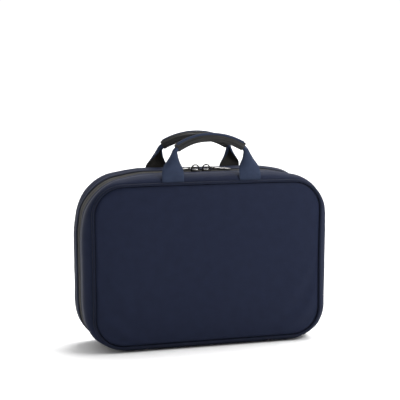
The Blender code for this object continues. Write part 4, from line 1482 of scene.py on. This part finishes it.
body = outlineSlab("pocketBody", ovalOutline(4.2 * mm, 3.2 * mm, 3), -0.8 * mm, 0.4 * mm, 0.35 * mm,
                   look["gunmetal"])
arch = []
for step in range(17):
    turn = math.pi * step / 16
    arch.append((3 * mm * math.cos(turn), 1.2 * mm * math.sin(turn) + 0.2 * mm))
hoop = stripArc("pocketHoop", arch, 0.7 * mm, 0.4 * mm, look["gunmetal"])
pocketSlider = joinPieces("pocket_zip_slider", [body, hoop])
moveTo(pocketSlider, Matrix.Translation(middleOf("pocket_slider")) @ turnIn)
declareBody(pocketSlider, "pocket_slider", "gunmetal", "pocket_slider")
outline = ovalOutline(8.8 * mm, 2.0 * mm, 3.5)
pocketPull = outlineSlab("pocket_zip_pull", outline, -0.45 * mm, 0.45 * mm, 0.25 * mm, look["gunmetal"],
                         [(x * 0.5 - 2 * mm, y * 0.35) for x, y in outline])
moveTo(pocketPull, Matrix.Translation(middleOf("pocket_puller")) @ turnIn)
declareBody(pocketPull, "pocket_puller", "gunmetal", "pocket_puller")


def buildLoops():
    flatBand("loop_band", "loop_backing", look["binding"], "back_half", "black_binding", (60, 14))
    low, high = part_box("elastic_loops")
    wall = elastic["wall"]
    frontY = high[1] - wall / 2
    line = []
    for index in range(4):
        middle = (index - 1.5) * elastic["pitch"]
        line.append((middle - elastic["pitch"] / 2 + 0.2 * mm, 0.0))
        line.append((middle - elastic["width"] / 2 - 0.6 * mm, 0.0))
        for step in range(1, 12):
            turn = math.pi * (1 - step / 12)
            lift = elastic["rise"] * math.sin(turn) ** 0.9
            lift *= 1 + 0.03 * math.sin(index * 2.1)
            line.append((middle + elastic["width"] / 2 * math.cos(turn), lift))
        line.append((middle + elastic["width"] / 2 + 0.6 * mm, 0.0))
    line.append((2 * elastic["pitch"] - 0.2 * mm, 0.0))
    line = smoothLine(line, 3)
    line[:, 1] = np.maximum(line[:, 1], 0)
    tall = 40
    heights = np.linspace(low[2], high[2], tall)
    rows = []
    for sign in (-1, 1):
        shell = np.zeros((len(line), tall, 3))
        for i in range(len(line)):
            before, after = line[max(i - 1, 0)], line[min(i + 1, len(line) - 1)]
            run = (after - before) / max(np.linalg.norm(after - before), 1e-9)
            ribs = elastic["rib"] * np.sin(np.arange(tall) * math.pi / 2)
            offset = sign * (wall / 2 - elastic["rib"] + ribs)
            shell[i, :, 0] = line[i, 0] - run[1] * offset
            shell[i, :, 1] = frontY - line[i, 1] - run[0] * offset
            shell[i, :, 2] = heights
        rows.append(shell)
    grid = np.concatenate([rows[0], rows[1][::-1]], axis=0)
    loop = np.swapaxes(grid, 0, 1)
    across = len(loop[0])
    lengths = list(heights - heights[0])
    acrosses = list(runLengths(loop[0], True))
    faces, corners = weaveRows(loop, lengths, acrosses, False, True)
    half = across // 2
    for row in (0, tall - 1):
        for i in range(half - 1):
            quad = (i, i + 1, across - 2 - i, across - 1 - i)
            faces.append(tuple(row * across + k for k in quad))
            corners.append(tuple((acrosses[k], 0) for k in quad))
    loops = finishMesh("tool_loops", loop.reshape(-1, 3), faces, corners, [look["elastic"]])
    declareBody(loops, "back_half", "black_elastic", "elastic_loops")


buildLoops()
print("inside made")


# Floor, light and camera
studio = {
    "keyPlace": (0.7, 0.45, 1.8),
    "fillPlace": (1.3, -1.3, 1.1),
    "boxPlace": (0.32, -0.36, 0.42),
    "boxTarget": (0.1, -0.04, 0.16),
    "boxSize": 0.16,
    "target": (0, -0.037, 0.097),
    "azimuth": -17.35,
    "elevation": 9.9,
    "distance": 1.311,
    "lens": 104.6,
    "shift": (-0.026, 0.158),
    "skyBehind": 1.05,
    "skyInFront": 0.27,
    "keyPower": 3.6,
    "fillPower": 0.45,
    "boxPower": 1.7,
}


def layFloor():
    bpy.ops.mesh.primitive_plane_add(size=60, location=(0, 0, 0))
    floor = bpy.context.object
    floor.name = "studioFloor"
    pale = newMaterial("paleFloor", Base_Color=(0.93, 0.93, 0.93, 1), Roughness=0.9)
    floor.data.materials.append(pale.material)


def aimFrom(piece, place, target):
    piece.location = place
    piece.rotation_euler = (Vector(target) - Vector(place)).to_track_quat("-Z", "Y").to_euler()


def addLight(name, place, spread, power):
    # A distant soft light, from the direction of place.
    data = bpy.data.lights.new(name, "SUN")
    data.angle = math.radians(spread)
    data.energy = power
    aimFrom(newObject(name, data), place, (0, 0, 0))


def addSoftbox(name, place, target, size, power):
    # A near soft light, which grades the front panel towards its far lower corner.
    data = bpy.data.lights.new(name, "AREA")
    data.shape = "DISK"
    data.size = size
    data.energy = power
    aimFrom(newObject(name, data), place, target)


def setCamera():
    data = bpy.data.cameras.new("camera")
    data.lens = studio["lens"]
    data.shift_x, data.shift_y = studio["shift"]
    turn, rise = math.radians(studio["azimuth"]), math.radians(studio["elevation"])
    away = Vector((math.sin(turn) * math.cos(rise), -math.cos(turn) * math.cos(rise), math.sin(rise)))
    camera = newObject("camera", data)
    camera.location = Vector(studio["target"]) + away * studio["distance"]
    camera.rotation_euler = (-away).to_track_quat("-Z", "Y").to_euler()
    bpy.context.scene.camera = camera


def setSky():
    # Soft white light all round, weaker from the side in front of the bag.
    world = bpy.data.worlds.new("studio")
    bpy.context.scene.world = world
    world.use_nodes = True
    sky = Recipe(world.node_tree, "Background", Color=(1, 1, 1, 1))
    direction = sky.add("ShaderNodeTexCoord", output="Generated")
    depth = sky.add("ShaderNodeSeparateXYZ", inputs={0: direction}, output="Y")
    strength = sky.add("ShaderNodeMapRange", {"interpolation_type": "SMOOTHSTEP"}, {
        "Value": depth, "From Min": -0.7, "From Max": 0.4,
        "To Min": studio["skyInFront"], "To Max": studio["skyBehind"],
    })
    sky.feed("Strength", strength)


layFloor()
setSky()
addLight("key", studio["keyPlace"], 45, studio["keyPower"])
addLight("fill", studio["fillPlace"], 60, studio["fillPower"])
addSoftbox("softbox", studio["boxPlace"], studio["boxTarget"], studio["boxSize"], studio["boxPower"])
setCamera()
bpy.context.scene.view_settings.view_transform = "Standard"
print("studio set")
